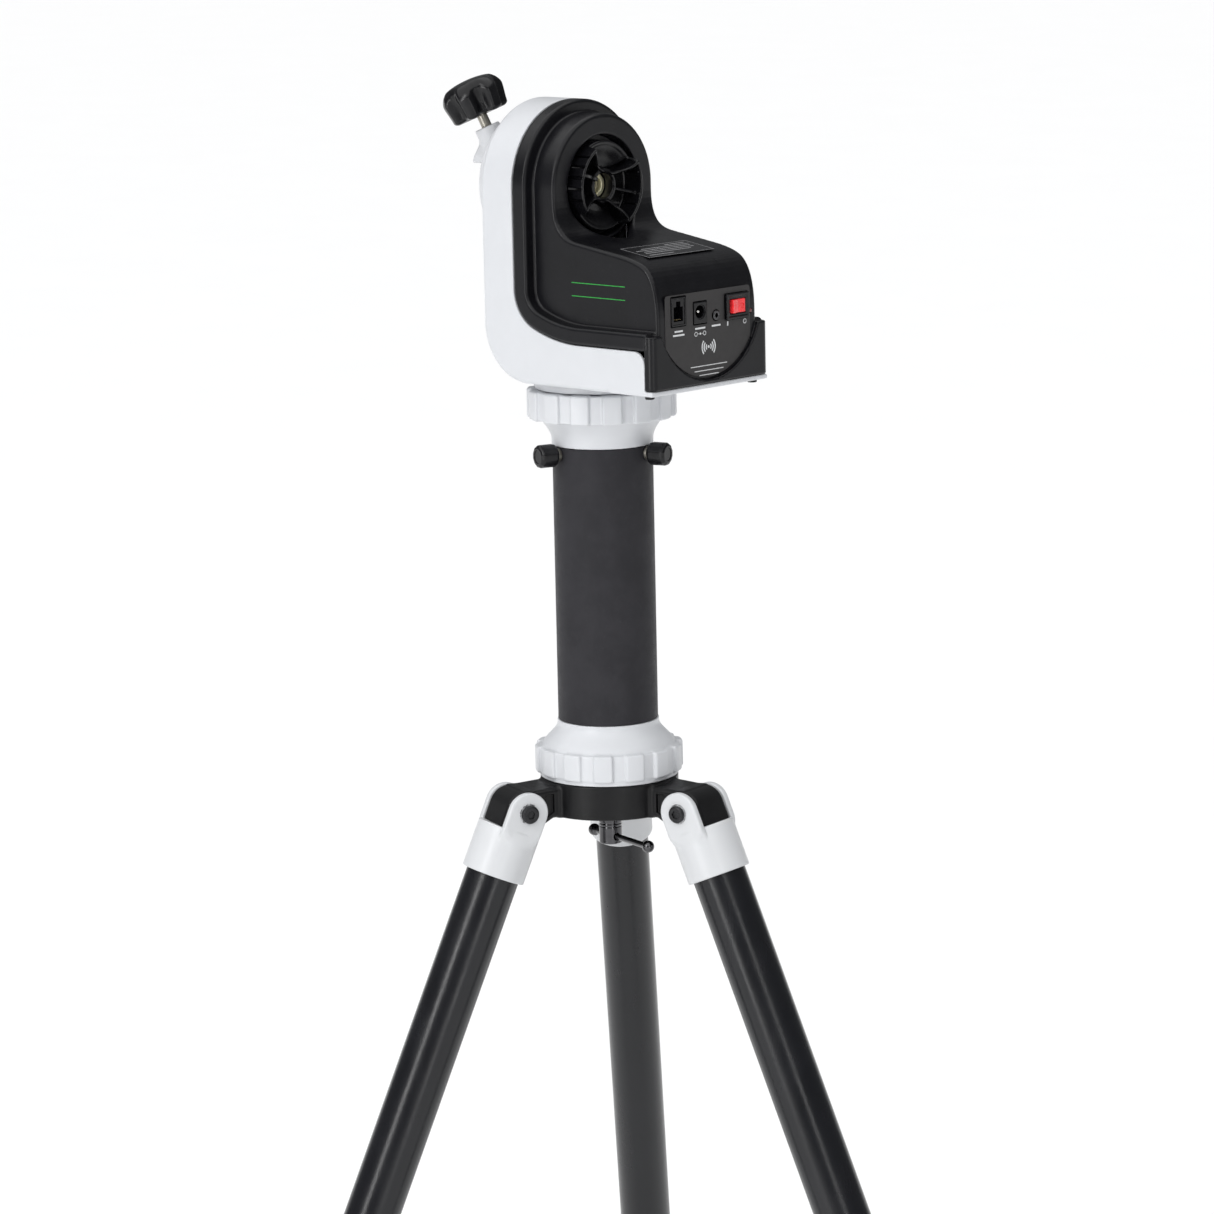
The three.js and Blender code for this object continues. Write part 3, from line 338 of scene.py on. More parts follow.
def turned(x, y, angle):
    """Coordinates seen from a frame turned by angle degrees."""
    c, s = math.cos(math.radians(angle)), math.sin(math.radians(angle))
    return c * x + s * y, c * y - s * x


def repeated(x, y, count, start=0.0):
    """Folds the plane onto one sector of count, and returns (along the sector's middle, across it)."""
    angle = np.arctan2(y, x) - math.radians(start)
    step = 2 * math.pi / count
    local = angle - step * np.round(angle / step)
    radius = np.hypot(x, y)
    return radius * np.cos(local), radius * np.sin(local)


# ---- meshes


def surface_net(field, low, high, step):
    """A quad mesh of the surface where the field is zero, pulled onto it, with the field's own normals."""
    axes = [np.arange(a - 1.5 * step, b + 2.5 * step, step, dtype=np.float64) for a, b in zip(low, high)]
    x, y, z = axes[0][:, None, None], axes[1][None, :, None], axes[2][None, None, :]
    shape = tuple(len(a) for a in axes)
    value = np.broadcast_to(field(x, y, z), shape)
    inside = value < 0
    cells = tuple(n - 1 for n in shape)
    offsets = [(i, j, k) for i in (0, 1) for j in (0, 1) for k in (0, 1)]
    count = np.zeros(cells, np.int8)
    for i, j, k in offsets:
        count += inside[i : i + cells[0], j : j + cells[1], k : k + cells[2]]
    ci, cj, ck = np.nonzero((count > 0) & (count < 8))
    index = np.full(cells, -1, np.int64)
    index[ci, cj, ck] = np.arange(len(ci))
    total, hits = np.zeros((len(ci), 3)), np.zeros(len(ci))
    for a in offsets:
        for b in offsets:
            if sum(b) - sum(a) != 1 or any(q < p for p, q in zip(a, b)):
                continue
            va = value[ci + a[0], cj + a[1], ck + a[2]]
            vb = value[ci + b[0], cj + b[1], ck + b[2]]
            cut = (va < 0) != (vb < 0)
            share = np.where(cut, va / np.where(cut, va - vb, 1), 0)
            for n in range(3):
                total[:, n] += np.where(cut, a[n] + share * (b[n] - a[n]), 0)
            hits += cut
    base = np.stack([axes[0][ci], axes[1][cj], axes[2][ck]], 1)
    points = base + total / hits[:, None] * step
    faces = []
    for axis in range(3):
        start = [slice(1, cells[n]) for n in range(3)]
        start[axis] = slice(0, cells[axis])
        end = list(start)
        end[axis] = slice(1, cells[axis] + 1)
        first, last = inside[tuple(start)], inside[tuple(end)]
        u, v = (axis + 1) % 3, (axis + 2) % 3
        for out in (True, False):
            at = np.nonzero((first & ~last) if out else (~first & last))
            where = [at[n] + (0 if n == axis else 1) for n in range(3)]
            ring = []
            for du, dv in ((-1, -1), (0, -1), (0, 0), (-1, 0)):
                spot = list(where)
                spot[u] = where[u] + du
                spot[v] = where[v] + dv
                ring.append(index[spot[0], spot[1], spot[2]])
            if not out:
                ring.reverse()
            faces.append(np.stack(ring, 1))
    reach = step * 0.05
    for turn in range(3):
        here = field(points[:, 0], points[:, 1], points[:, 2])
        slope = np.empty_like(points)
        for n in range(3):
            ahead, behind = points.copy(), points.copy()
            ahead[:, n] += reach
            behind[:, n] -= reach
            slope[:, n] = field(*ahead.T) - field(*behind.T)
        slope /= 2 * reach
        size = np.maximum(np.linalg.norm(slope, axis=1), 0.3)
        normals = slope / size[:, None]
        if turn < 2:
            move = np.clip(here / size, -0.5 * step, 0.5 * step)
            points -= normals * move[:, None]
    return points, np.concatenate(faces), normals


def lathe(profile, sides=96, soft=0.6, arc=4):
    """A closed ring profile of (radius, height) points, run anticlockwise, turned about Z with its corners rounded."""
    points, normals = [], []
    count = len(profile)
    for i in range(count):
        a, b, c = (np.array(profile[j % count], float) for j in (i - 1, i, i + 1))
        back, ahead = a - b, c - b
        la, lb = np.linalg.norm(back), np.linalg.norm(ahead)
        back, ahead = back / la, ahead / lb
        bend = math.acos(max(-1.0, min(1.0, float(back @ ahead))))
        if b[0] < 1e-9 or math.pi - bend < 0.03:
            for way in (-back, ahead):
                points.append(b)
                normals.append(np.array([way[1], -way[0]]))
            continue
        cut = min(soft / math.tan(bend / 2), 0.45 * la, 0.45 * lb)
        first, last = b + back * cut, b + ahead * cut
        n0, n1 = np.array([-back[1], back[0]]), np.array([ahead[1], -ahead[0]])
        for step in range(arc + 1):
            t = step / arc
            spot = (1 - t) ** 2 * first + 2 * t * (1 - t) * b + t * t * last
            way = (1 - t) * n0 + t * n1
            points.append(spot)
            normals.append(way / max(np.linalg.norm(way), 1e-9))
    angles = np.linspace(0, 2 * math.pi, sides, endpoint=False)
    c, s = np.cos(angles), np.sin(angles)
    verts, norms, index = [], [], []
    for p, n in zip(points, normals):
        if p[0] < 1e-9:
            index.append([len(verts)] * sides)
            verts.append((0, 0, p[1]))
            norms.append((0, 0, 1 if n[1] >= 0 else -1))
        else:
            index.append(list(range(len(verts), len(verts) + sides)))
            verts += [(p[0] * c[k], p[0] * s[k], p[1]) for k in range(sides)]
            norms += [(n[0] * c[k], n[0] * s[k], n[1]) for k in range(sides)]
    faces = []
    rows = len(points)
    for i in range(rows):
        j = (i + 1) % rows
        if np.linalg.norm(points[i] - points[j]) < 1e-7:
            continue
        for k in range(sides):
            m = (k + 1) % sides
            ring = [index[i][k], index[i][m], index[j][m], index[j][k]]
            clean = [v for n, v in enumerate(ring) if v != ring[n - 1]]
            if len(clean) > 2:
                faces.append(clean)
    return np.array(verts), faces, np.array(norms)


def sleeve(inner, outer, low, high):
    """A plain tube's profile for the lathe."""
    return [(inner, low), (outer, low), (outer, high), (inner, high)]


def piece(name, mesh_data, matrix, body, material, stands_for=()):
    """Makes an object from points, faces and normals in a local frame, and lets it ride on a body."""
    points, faces, normals = mesh_data
    m = np.array(matrix)
    placed = points @ m[:3, :3].T + m[:3, 3]
    mesh = bpy.data.meshes.new(name)
    if isinstance(faces, np.ndarray):
        count = len(faces)
        mesh.vertices.add(len(placed))
        mesh.vertices.foreach_set("co", placed.astype(np.float32).ravel())
        mesh.loops.add(count * 4)
        mesh.loops.foreach_set("vertex_index", faces.astype(np.int32).ravel())
        mesh.polygons.add(count)
        mesh.polygons.foreach_set("loop_start", np.arange(0, count * 4, 4, dtype=np.int32))
        mesh.update(calc_edges=True)
    else:
        mesh.from_pydata([tuple(p) for p in placed], [], faces)
    mesh.polygons.foreach_set("use_smooth", [True] * len(mesh.polygons))
    mesh.validate()
    if normals is not None:
        turn = m[:3, :3] / np.cbrt(np.linalg.det(m[:3, :3]))
        aimed = normals @ turn.T
        mesh.normals_split_custom_set_from_vertices([tuple(n) for n in aimed])
    made = added(name, mesh)
    mesh.materials.append(FINISHES[material])
    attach(made, body)
    for node in stands_for:
        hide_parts(node)
    return made


def carved(name, field, low, high, step, matrix, body, material, stands_for=()):
    return piece(name, surface_net(field, low, high, step), matrix, body, material, stands_for)


# ---- the head's casing

# The casing is symmetrical about y = 0, and its arch is centred on the altitude axis. An arc is (x, z, radius),
# and a place on the panel is (y, z).
HALF = 54.4
BODY_HALF = 46.0
TOP = AXIS_H + HALF
BACK_X = -51.3
PANEL_X = 93.2
SCOOP_HEIGHT = 53.7
FLANGE = 11.2
SHELL_WALL = 2.8
COVER_WALL = 2.5
PARTING_X = -24
TIGHT_ARC = (2.4, 60.3, 26.4)
WIDE_ARC = (32.064, 129.513, 101.7)
FOOT_TOP = WIDE_ARC[1] - WIDE_ARC[2]
ARC_BREAK = math.radians(246.8)


def curve(points, steps=8):
    """A Bezier curve's points, without the last one."""
    found = []
    for i in range(steps):
        t = i / steps
        row = [np.array(p, float) for p in points]
        while len(row) > 1:
            row = [(1 - t) * a + t * b for a, b in zip(row, row[1:])]
        found.append(tuple(row[0]))
    return found


HEAD_PROFILE = [
    (PANEL_X, 10), *curve([(PANEL_X, 48), (92.6, 70.3), (83.5, 78.4)]),
    *curve([(83.5, 78.4), (78.2, 83.1), (62, 85.9)]), (62, 85.9),
    *curve([(24, 91.8), (13, 93.5), (6, 98), (5.6, 116)], 12), (5.6, 116), (5.6, 200), (-60, 200), (-60, 10),
]


def arch(y, z, half):
    """The head's outline seen from the front."""
    return np.where(z > AXIS_H, np.hypot(y, z - AXIS_H), np.abs(y) + 0 * z) - half


def back_and_floor(x, z):
    return corner(x - BACK_X, z, 37)


def cover_side(x, z, gap=0.0):
    """The region in front of the parting line, which is two flats joined by a tight and a wide arc."""
    (tx, tz, tr), (wx, wz, wr) = TIGHT_ARC, WIDE_ARC
    before = math.cos(ARC_BREAK) * (z - tz) - math.sin(ARC_BREAK) * (x - tx) < 0
    flats = np.maximum(PARTING_X - x, FOOT_TOP - z)
    arcs = np.where(before, np.hypot(x - tx, z - tz) - tr, np.hypot(x - wx, z - wz) - wr)
    return np.where((z < tz) & (x < wx), arcs, flats) + gap


def ease(v, low, high):
    t = np.clip((v - low) / (high - low), 0, 1)
    return t * t * (3 - 2 * t)


REAR_SCREWS = [(-38, 30), (38, 30), (-41.5, 96), (41.5, 96)]
HAND_PLUG, POWER_PLUG, SWITCH = (-27.4, 51), (-7.4, 48.4), (26.6, 49.4)
POWER_PIN, SNAP_PLUG, LAMP = (-7.4, 49), (7.5, 45.3), (40.2, 45)
WIRES = [-30.4 + i * 1.2 for i in range(6)]


def through(y, z, place, radius):
    """A rod along X through a place on the panel."""
    return rod(y - place[0], z - place[1], radius)


def rear_shell(x, y, z):
    behind = without(x - 88.3, cover_side(x, z), 9)
    outer = both(back_and_floor(x, z), arch(y, z, HALF), 3.0)
    whole = both(outer, behind, 0.7)
    inner = both(both(back_and_floor(x, z) + SHELL_WALL, arch(y, z, HALF - SHELL_WALL), 6), x - 85.5)
    shell = without(whole, inner)
    strip = brick(x, y, z, (58, -HALF, 0), (94.7, HALF, 3.2), 1.0)
    shell = either(shell, strip, 0.3)
    shell = without(shell, both(rod(y, z - AXIS_H, 14), x + 40), 0.5)
    for away, height in REAR_SCREWS:
        shell = without(shell, both(rod(y - away, z - height, 4.2), x + 49.7), 0.5)
    return without(shell, both(rod(x, y, 14), z - 4), 0.5)


def front_cover(x, y, z):
    """The raised L-shaped body on its flange, with the apron across the foot."""
    edge = cover_side(x, z, 0.3)
    body = both(both(polygon(x, z, HEAD_PROFILE), edge), arch(y, z, BODY_HALF), 2.6)
    band = both(both(edge, -edge - FLANGE, 2.2), arch(y, z, HALF), 2.2)
    cover = either(body, both(band, x - 90), 1.6)
    apron = both(both(span(x, 70, 95.7), np.abs(y) - HALF, 4.6), span(z, 3.5, 37.5), 0.9)
    apron = both(apron, 88.6 - x, 0.6)
    scoop = both(rod(y, z - SCOOP_HEIGHT, 47.9), 92.5 - x)
    apron = without(apron, scoop, 0.7)
    cover = either(cover, apron, 0.6)
    inner_body = polygon(x, z, HEAD_PROFILE) + COVER_WALL
    inner_body = both(both(inner_body, arch(y, z, BODY_HALF - COVER_WALL), 4), 27 - z)
    inner_band = both(both(arch(y, z, HALF - COVER_WALL), COVER_WALL - FLANGE - edge), x - 86)
    inner_band = both(inner_band, 24 - z)
    cover = without(without(cover, inner_body), inner_band)
    well = both(rod(y, z - AXIS_H, 35), span(x, -6.5, 4.5))
    cover = either(cover, well)
    cover = without(cover, both(rod(y, z - AXIS_H, 32.4), -4 - x, 1.0), 1.8)
    cover = without(cover, both(rod(y, z - AXIS_H, 10), span(x, -20, 20)))
    for (py, pz), width, height in ((HAND_PLUG, 13.6, 18.6), (POWER_PLUG, 12.4, 14.2), (SWITCH, 19.4, 14.6)):
        low = (80, py - width / 2, pz - height / 2)
        high = (110, py + width / 2, pz + height / 2)
        cover = without(cover, brick(x, y, z, low, high, 0.5))
    cover = without(cover, both(through(y, z, SNAP_PLUG, 3.4), 80 - x))
    return without(cover, both(through(y, z, LAMP, 1.5), 80 - x))


def hand_control_socket(x, y, z):
    body = brick(x, y, z, (81, -33.9, 42), (94, -20.9, 60), 0.4)
    rim = brick(x, y, z, (90, -32.9, 43), (96, -21.9, 59), 0.3)
    body = without(body, both(rim, 93.5 - x))
    mouth = brick(x, y, z, (85, -31.6, 45), (96, -23.2, 54), 0.3)
    latch = brick(x, y, z, (85, -29.4, 52), (96, -25.4, 57.4), 0.3)
    body = without(body, either(mouth, latch), 0.15)
    for at in WIRES:
        wire = both(rod(z - 46.2 - (x - 90) * 0.1, y - at, 0.28), span(x, 84, 92.6))
        body = either(body, wire)
    return body


def power_socket(x, y, z):
    body = brick(x, y, z, (81, -13.3, 41.6), (94, -1.5, 55.2), 0.5)
    hole = both(through(y, z, POWER_PIN, 4), 85 - x)
    ledge = both(through(y, z, POWER_PIN, 4.7), 93.4 - x)
    return without(without(body, hole, 0.2), ledge, 0.15)


def power_pin(x, y, z):
    return both(through(y, z, POWER_PIN, 1.1), span(x, 84.5, 92.3), 0.6)


def snap_socket(x, y, z):
    body = both(through(y, z, SNAP_PLUG, 3.1), span(x, 84.2, 94.2), 0.4)
    body = without(body, both(np.abs(through(y, z, SNAP_PLUG, 2.35)) - 0.15, 94 - x))
    return without(body, both(through(y, z, SNAP_PLUG, 1.4), 87 - x), 0.3)


def switch_body(x, y, z):
    bezel = brick(x, y, z, (93.5, 16, 41.2), (95.5, 37.2, 57.6), 0.6)
    block = brick(x, y, z, (71.5, 17.3, 42.4), (94.2, 35.9, 56.4), 0.5)
    well = brick(x, y, z, (83.6, 19.2, 44.7), (99, 34, 54.1), 0.4)
    dish = brick(x, y, z, (95.0, 17.6, 42.8), (99, 35.6, 56), 0.6)
    return without(without(either(bezel, block), dish, 0.2), well, 0.3)


def rocker(x, y, z):
    """In the rocker's own frame: the pin is the origin, X points out of the panel, Y along the paddle."""
    face = 4.2 - np.clip(1.0 - np.abs(y) / 6.5, 0, 1)
    paddle = both(both(span(y, -6.5, 6.5), span(z, -4.3, 4.3), 0.5), both(x - face, -0.4 - x, 0.3), 0.35)
    boss = both(rod(x, y, 2.6), span(z, -4.3, 4.3), 0.3)
    whole = either(paddle, boss, 0.3)
    stroke = brick(x, y, z, (3.5, -4.0, -1.6), (5.6, -3.3, 1.6), 0.15)
    ring = both(np.abs(rod(y - 3.7, z, 1.35)) - 0.3, 3.5 - x)
    return without(whole, either(stroke, ring), 0.1)


def casing_screw(along, u, v):
    """A round head with a cross recess. Its top is at along = 0 and its underside at along = 1.5."""
    head = both(rod(u, v, 3.1), span(along, 0, 1.5), 0.5)
    cross = either(both(span(u, -1.8, 1.8), span(v, -0.4, 0.4)), both(span(v, -1.8, 1.8), span(u, -0.4, 0.4)))
    return without(head, both(cross, along - 0.9), 0.1)


def build_casing():
    for name, field, low, high, step, material, stands_for in (
        ("rear_shell_skin", rear_shell, (BACK_X, -HALF, 0), (94.7, HALF, TOP), 1.15, "white", ["rear_shell"]),
        ("front_cover_skin", front_cover, (-23.7, -HALF, 2.7), (95.7, HALF, TOP), 1.0, "cover", ["front_cover"]),
        ("hand_control_jack", hand_control_socket, (81, -33.9, 42), (94, -20.9, 60), 0.28, "knob",
         ["hand_control_socket"]),
        ("power_jack", power_socket, (81, -13.3, 41.6), (94, -1.5, 55.2), 0.28, "knob", ["power_socket"]),
        ("power_pin", power_pin, (84.5, -8.5, 47.9), (92.3, -6.3, 50.1), 0.15, "contact", []),
        ("snap_jack", snap_socket, (84.2, 4.4, 42.2), (94.2, 10.6, 48.4), 0.18, "chrome", ["snap_socket"]),
        ("switch_bezel", switch_body, (71.5, 16, 41.2), (95.5, 37.2, 57.6), 0.34, "knob", ["switch_body"]),
    ):
        carved(name, field, low, high, step, HEAD, "head", material, stands_for)
    rocker_at = HEAD @ Matrix.Translation((91.8, *SWITCH)) @ spin(8, "Z")
    carved("rocker_paddle", rocker, (-2.6, -6.5, -4.3), (4.2, 6.5, 4.3), 0.17, rocker_at, "power_rocker", "red",
           ["rocker"])
    for side in (-1, 1):
        screw = lambda x, y, z, side=side: casing_screw((z + 2.2) * 0.65, x - 87, y - side * 48)
        low, high = (83.9, side * 48 - 3.1, -2.2), (90.1, side * 48 + 3.1, 0.1)
        carved(f"casing_screw_{(side + 3) // 2}", screw, low, high, 0.2, HEAD, "head", "knob")
    for number, (away, height) in enumerate(REAR_SCREWS, 3):
        screw = lambda x, y, z, away=away, height=height: casing_screw(x + 51.1, y - away, z - height)
        low, high = (-51.1, away - 3.1, height - 3.1), (-49.6, away + 3.1, height + 3.1)
        carved(f"casing_screw_{number}", screw, low, high, 0.2, HEAD, "head", "bolt")
    lamp = lambda x, y, z: both(through(y, z, LAMP, 1.3), span(x, 91.5, 93.8), 0.5)
    carved("status_lamp", lamp, (91.5, 38.9, 43.7), (93.8, 41.5, 46.3), 0.14, HEAD, "head", "lamp")
    for number, at in enumerate(WIRES, 1):
        wire = lambda x, y, z, at=at: both(rod(y - at, z - 45.9, 0.24), span(x, 86, 92.2), 0.2)
        carved(f"contact_wire_{number}", wire, (86, at - 0.3, 45.6), (92.2, at + 0.3, 46.2), 0.1, HEAD, "head", "gilt")


# ---- labels and printed marks


def panel_label(x, y, z):
    film = both(both(span(y, -40, 40), span(z, 4, 62), 3), rod(y, z - SCOOP_HEIGHT, 46.6), 0.5)
    film = both(film, span(x, 93.22, 93.42))
    for (py, pz), width, height in ((HAND_PLUG, 14.0, 19.0), (POWER_PLUG, 12.8, 14.6), (SWITCH, 21.8, 17.0)):
        film = without(film, both(span(y, py - width / 2, py + width / 2), span(z, pz - height / 2, pz + height / 2)))
    film = without(film, through(y, z, SNAP_PLUG, 3.6))
    return without(film, through(y, z, LAMP, 1.6))


# ---- altitude axis


def clutch_knob(x, y, z):
    """A ribbed wheel with two finger scoops, and a pocket with a thin fin on each side of the hub."""
    radius = np.hypot(y, z)
    along, across = turned(y, z, CLUTCH_TURN)
    scoop = rod(np.abs(across) - 33, along, 24.5)
    groove = repeated(y, z, 24)[1]
    groove = (1 - ease(np.abs(groove), 0.5, 1.3)) * ease(-x, -13.4, -12.4) * ease(scoop, 0.5, 3.0)
    rib = 28.5 - 1.5 * groove
    hollow = ease(-scoop, 0.5, 4.0)
    wheel = both(radius - rib, -3 - x, 1.0)
    floor = both(wheel, x + 1.2 - hollow * (2.2 + 4.6 * ease(radius, 16, 28)), 0.6)
    rim = both(both(wheel, 26.7 - radius, 0.4), x - 14 + 8.4 * hollow, 0.9)
    wall = both(both(np.abs(scoop) - 0.85, x - 7.6 - 6.2 * ease(radius, 12, 26), 0.7), both(radius - 27.8, -1 - x))
    hub = both(both(radius - (11.2 + 0.1 * (6 - x)), -3 - x), x - 6.4, 0.8)
    fin = both(np.abs(across) - 1.0, x - 6 - 2.6 * ease(along, 11, 26), 0.5)
    fin = both(fin, both(span(along, 10, 27.4), -1 - x))
    beam = both(span(across, 1.4, 4.0), x - 8.4 - 4.4 * ease(-along, 9, 24), 0.6)
    fin = either(fin, both(beam, both(span(-along, 8.8, 27.4), -1 - x)))
    knob = either(either(either(floor, rim, 1.6), wall, 0.9), either(hub, fin, 0.6), 0.9)
    return without(knob, radius - 8.3 - 0.6 * ease(x, 5.2, 6.4))


def saddle_block(x, y, z):
    plate = both(rod(y, z, 47.4), span(x, -60, -52.2), 1.8)
    upper_half = [(28.4, 17), (28.4, 21.5), (26.6, 24.5), (15, 34)]
    upper_view = [(-28.4, 17), *upper_half, (-15, 34), (-26.6, 24.5), (-28.4, 21.5)]
    lower_view = [(-26, -24), (-16, -34), (16, -34), (26, -24), (26, -17), (-26, -17)]
    upper = both(polygon(y, z, upper_view), span(x, -80, -56), 2.2)
    lower = both(polygon(y, z, lower_view), span(x, -80, -56), 2.2)
    lean = math.radians(SCREW_LEAN)
    dx, dz = x - SCREW_PLACE[0], z - SCREW_PLACE[2]
    along = math.cos(lean) * dz - math.sin(lean) * dx
    off = math.cos(lean) * dx + math.sin(lean) * dz
    around = np.hypot(off, y - SCREW_PLACE[1])
    boss = both(both(around - 8.4, span(along, -14, 0.0), 1.2), -80 - x)
    block = either(either(either(upper, boss, 2.5), lower), plate, 1.6)
    channel = [(-81, -19.2), (-60, -22.2), (-60, 24), (-70.3, 24), (-70.3, 20.5), (-81, 20.5)]
    block = without(block, polygon(x, z, channel) + 0 * y, 0.8)
    block = without(block, both(around - 4.2, span(along, -32, 5)), 0.4)
    block = without(block, both(rod(y, z, 14.8), -58.9 - x))
    return without(block, both(rod(y, z, 3.3), x + 50), 0.4)


def saddle_jaw(x, y, z):
    shape = [(-69.6, 20.4), (-61.8, 20.4), (-61.8, 23.7), (-69.9, 23.7)]
    jaw = both(polygon(x, z, shape) + 0 * y, span(y, -24, 24), 0.5)
    for side in (-1, 1):
        jaw = without(jaw, both(rod(x + 65.8, y - side * 17, 1.3), 21.6 - z), 0.2)
    return jaw


def star_knob(x, y, z):
    """Six lobes under a domed top, with flutes that fade out towards it. Z is the screw's axis."""
    angle = np.arctan2(y, x)
    radius = np.hypot(x, y)
    wave = 0.5 + 0.5 * np.cos(6 * angle)
    lobe = 18.8 + 2.0 * ease(z, 8, 24)
    flute = 14.0 + 4.2 * ease(z, 14, 32)
    reach = flute + (lobe - flute) * ease(wave, 0.0, 0.85)
    knob = both((radius - reach) * 0.65, span(z, 7.6 + 1.2 * (1 - wave), 33.6), 2.2)
    crown = np.hypot(radius, z + 1.6) - 35.2
    knob = both(knob, crown, 4.6)
    cap = both(np.abs(radius - 8.6) - 0.3, 32.4 - z)
    knob = without(knob, cap, 0.35)
    hollow = both(radius - 3.8, z - 17.4)
    return without(knob, hollow, 0.3)


def threaded(major, depth, pitch, low, high, sides=40, rows=12):
    """A rod along Z with a V thread and plain ends."""
    count = int(round((high - low) / pitch * rows))
    heights = np.linspace(low, high, count + 1)
    angles = np.arange(sides) * 2 * math.pi / sides
    turn = np.mod(heights[:, None] / pitch - angles[None, :] / (2 * math.pi), 1)
    radius = major - depth * np.abs(2 * turn - 1)
    fade = ease(heights, low, low + pitch) * ease(-heights, -high, -high + pitch)
    radius = radius * fade[:, None] + (1 - fade[:, None]) * (major - depth)
    grid = np.stack([radius * np.cos(angles), radius * np.sin(angles), heights[:, None] + 0 * radius], 2)
    verts = np.concatenate([grid.reshape(-1, 3), [[0, 0, low], [0, 0, high]]])
    faces = []
    for i in range(count):
        for k in range(sides):
            m = (k + 1) % sides
            faces.append([i * sides + k, i * sides + m, (i + 1) * sides + m, (i + 1) * sides + k])
    last = count * sides
    for k in range(sides):
        m = (k + 1) % sides
        faces.append([len(verts) - 2, m, k])
        faces.append([len(verts) - 1, last + k, last + m])
    return verts, faces, None


def build_altitude_axis():
    carved("clutch_knob_grip", clutch_knob, (-3, -28.5, -28.5), (14, 28.5, 28.5), 0.55, AXLE, "clutch", "knob",
           ["clutch_knob"])
    sleeve = lambda x, y, z: without(both(rod(y, z, 7.9), span(x, -8.7, -1), 0.5), rod(y, z, 4.9), 0.6)
    carved("clutch_sleeve_bush", sleeve, (-8.7, -7.9, -7.9), (-1, 7.9, 7.9), 0.35, AXLE, "altitude_axis", "brass",
           ["clutch_sleeve"])
    carved("saddle_body", saddle_block, (-84, -47.5, -47.5), (-52.2, 47.5, 47.5), 0.85, SADDLE, "altitude_axis",
           "coat", ["saddle"])
    carved("saddle_jaw_plate", saddle_jaw, (-69.9, -24, 20.4), (-61.8, 24, 23.7), 0.35, SADDLE, "jaw", "bright",
           ["saddle_jaw"])
    carved("saddle_knob_grip", star_knob, (-20.9, -20.9, 7.6), (20.9, 20.9, 33.6), 0.5, SCREW, "saddle_lock", "knob",
           ["saddle_knob"])
    piece("saddle_screw_thread", threaded(3.9, 0.5, 1.25, -16.3, 0.55), SCREW, "saddle_lock", "steel",
          ["saddle_screw"])
    stem = [(0, 0.4), (3.4, 0.4), (3.4, 3.0), (3.4, 17), (0, 17)]
    piece("saddle_screw_stem", lathe(stem, 40, 0.3), SCREW, "saddle_lock", "steel")


# ---- pillar

PILLAR_RADII = (29.5, 32.5)
PILLAR_ENDS = (643.7, 823.7)
SPIGOT = 29.2
THUMB_HEIGHT, THUMB_START, THUMB_RADIUS = 819, 13.5, 7.6


def grip_ring(x, y, z, low, high, start):
    """Fourteen rounded pads with shallow hollows between them."""
    across = repeated(x, y, 14, start)[1]
    radius = np.hypot(x, y)
    pad = both(radius - 48.2, np.abs(across) - 6.3, 1.2)
    pad = both(pad, span(z, low, high), 1.5)
    drum = both(radius - 45.9, span(z, low + 0.4, high - 0.4), 0.8)
    return either(drum, pad, 0.9)


def upper_collar(x, y, z):
    radius = np.hypot(x, y)
    flare = 32.8 + 8.6 * ease(z, 826, 846) ** 1.3
    cone = both(radius - flare, span(z, 824, 845))
    ring = grip_ring(x, y, z, 841.4, 860.4, 13)
    collar = either(cone, ring, 1.4)
    collar = either(collar, both(radius - SPIGOT, span(z, 804, 826)), 0.2)
    collar = without(collar, both(radius - 25, z - 839.1, 0.6), 0.4)
    return without(collar, radius - 4.8, 0.4)


def lower_collar(x, y, z):
    radius = np.hypot(x, y)
    flare = 33.0 + 10.4 * ease(-z, -642, -625.5) ** 1.15
    cone = both(radius - flare, span(z, 620, 643.4), 0.3)
    foot = both(radius - 45.3, span(z, 606.5, 625), 0.6)
    ring = grip_ring(x, y, z, 609.4, 626.9, 0)
    collar = either(either(cone, foot, 0.5), ring, 1.6)
    collar = either(collar, both(radius - SPIGOT, span(z, 640, 663.4)), 0.2)
    collar = without(collar, both(radius - 25, 620.6 - z, 0.6), 0.4)
    return without(collar, radius - 5.0, 0.4)


def thumbscrew(x, y, z):
    """A faceted head with rounded ends on a plain shaft. X is the axis."""
    along = repeated(y, z, 12)[0]
    radius = np.hypot(y, z)
    facet = both(radius - THUMB_RADIUS, along - 7.35, 0.4)
    head = both(facet, span(x, 35.4, 48.4), 2.4)
    neck = both(radius - 2.7, span(x, 29.5, 37))
    dimple = both(radius - 4.2, 47.9 - x)
    return without(either(head, neck, 0.5), dimple, 0.3)


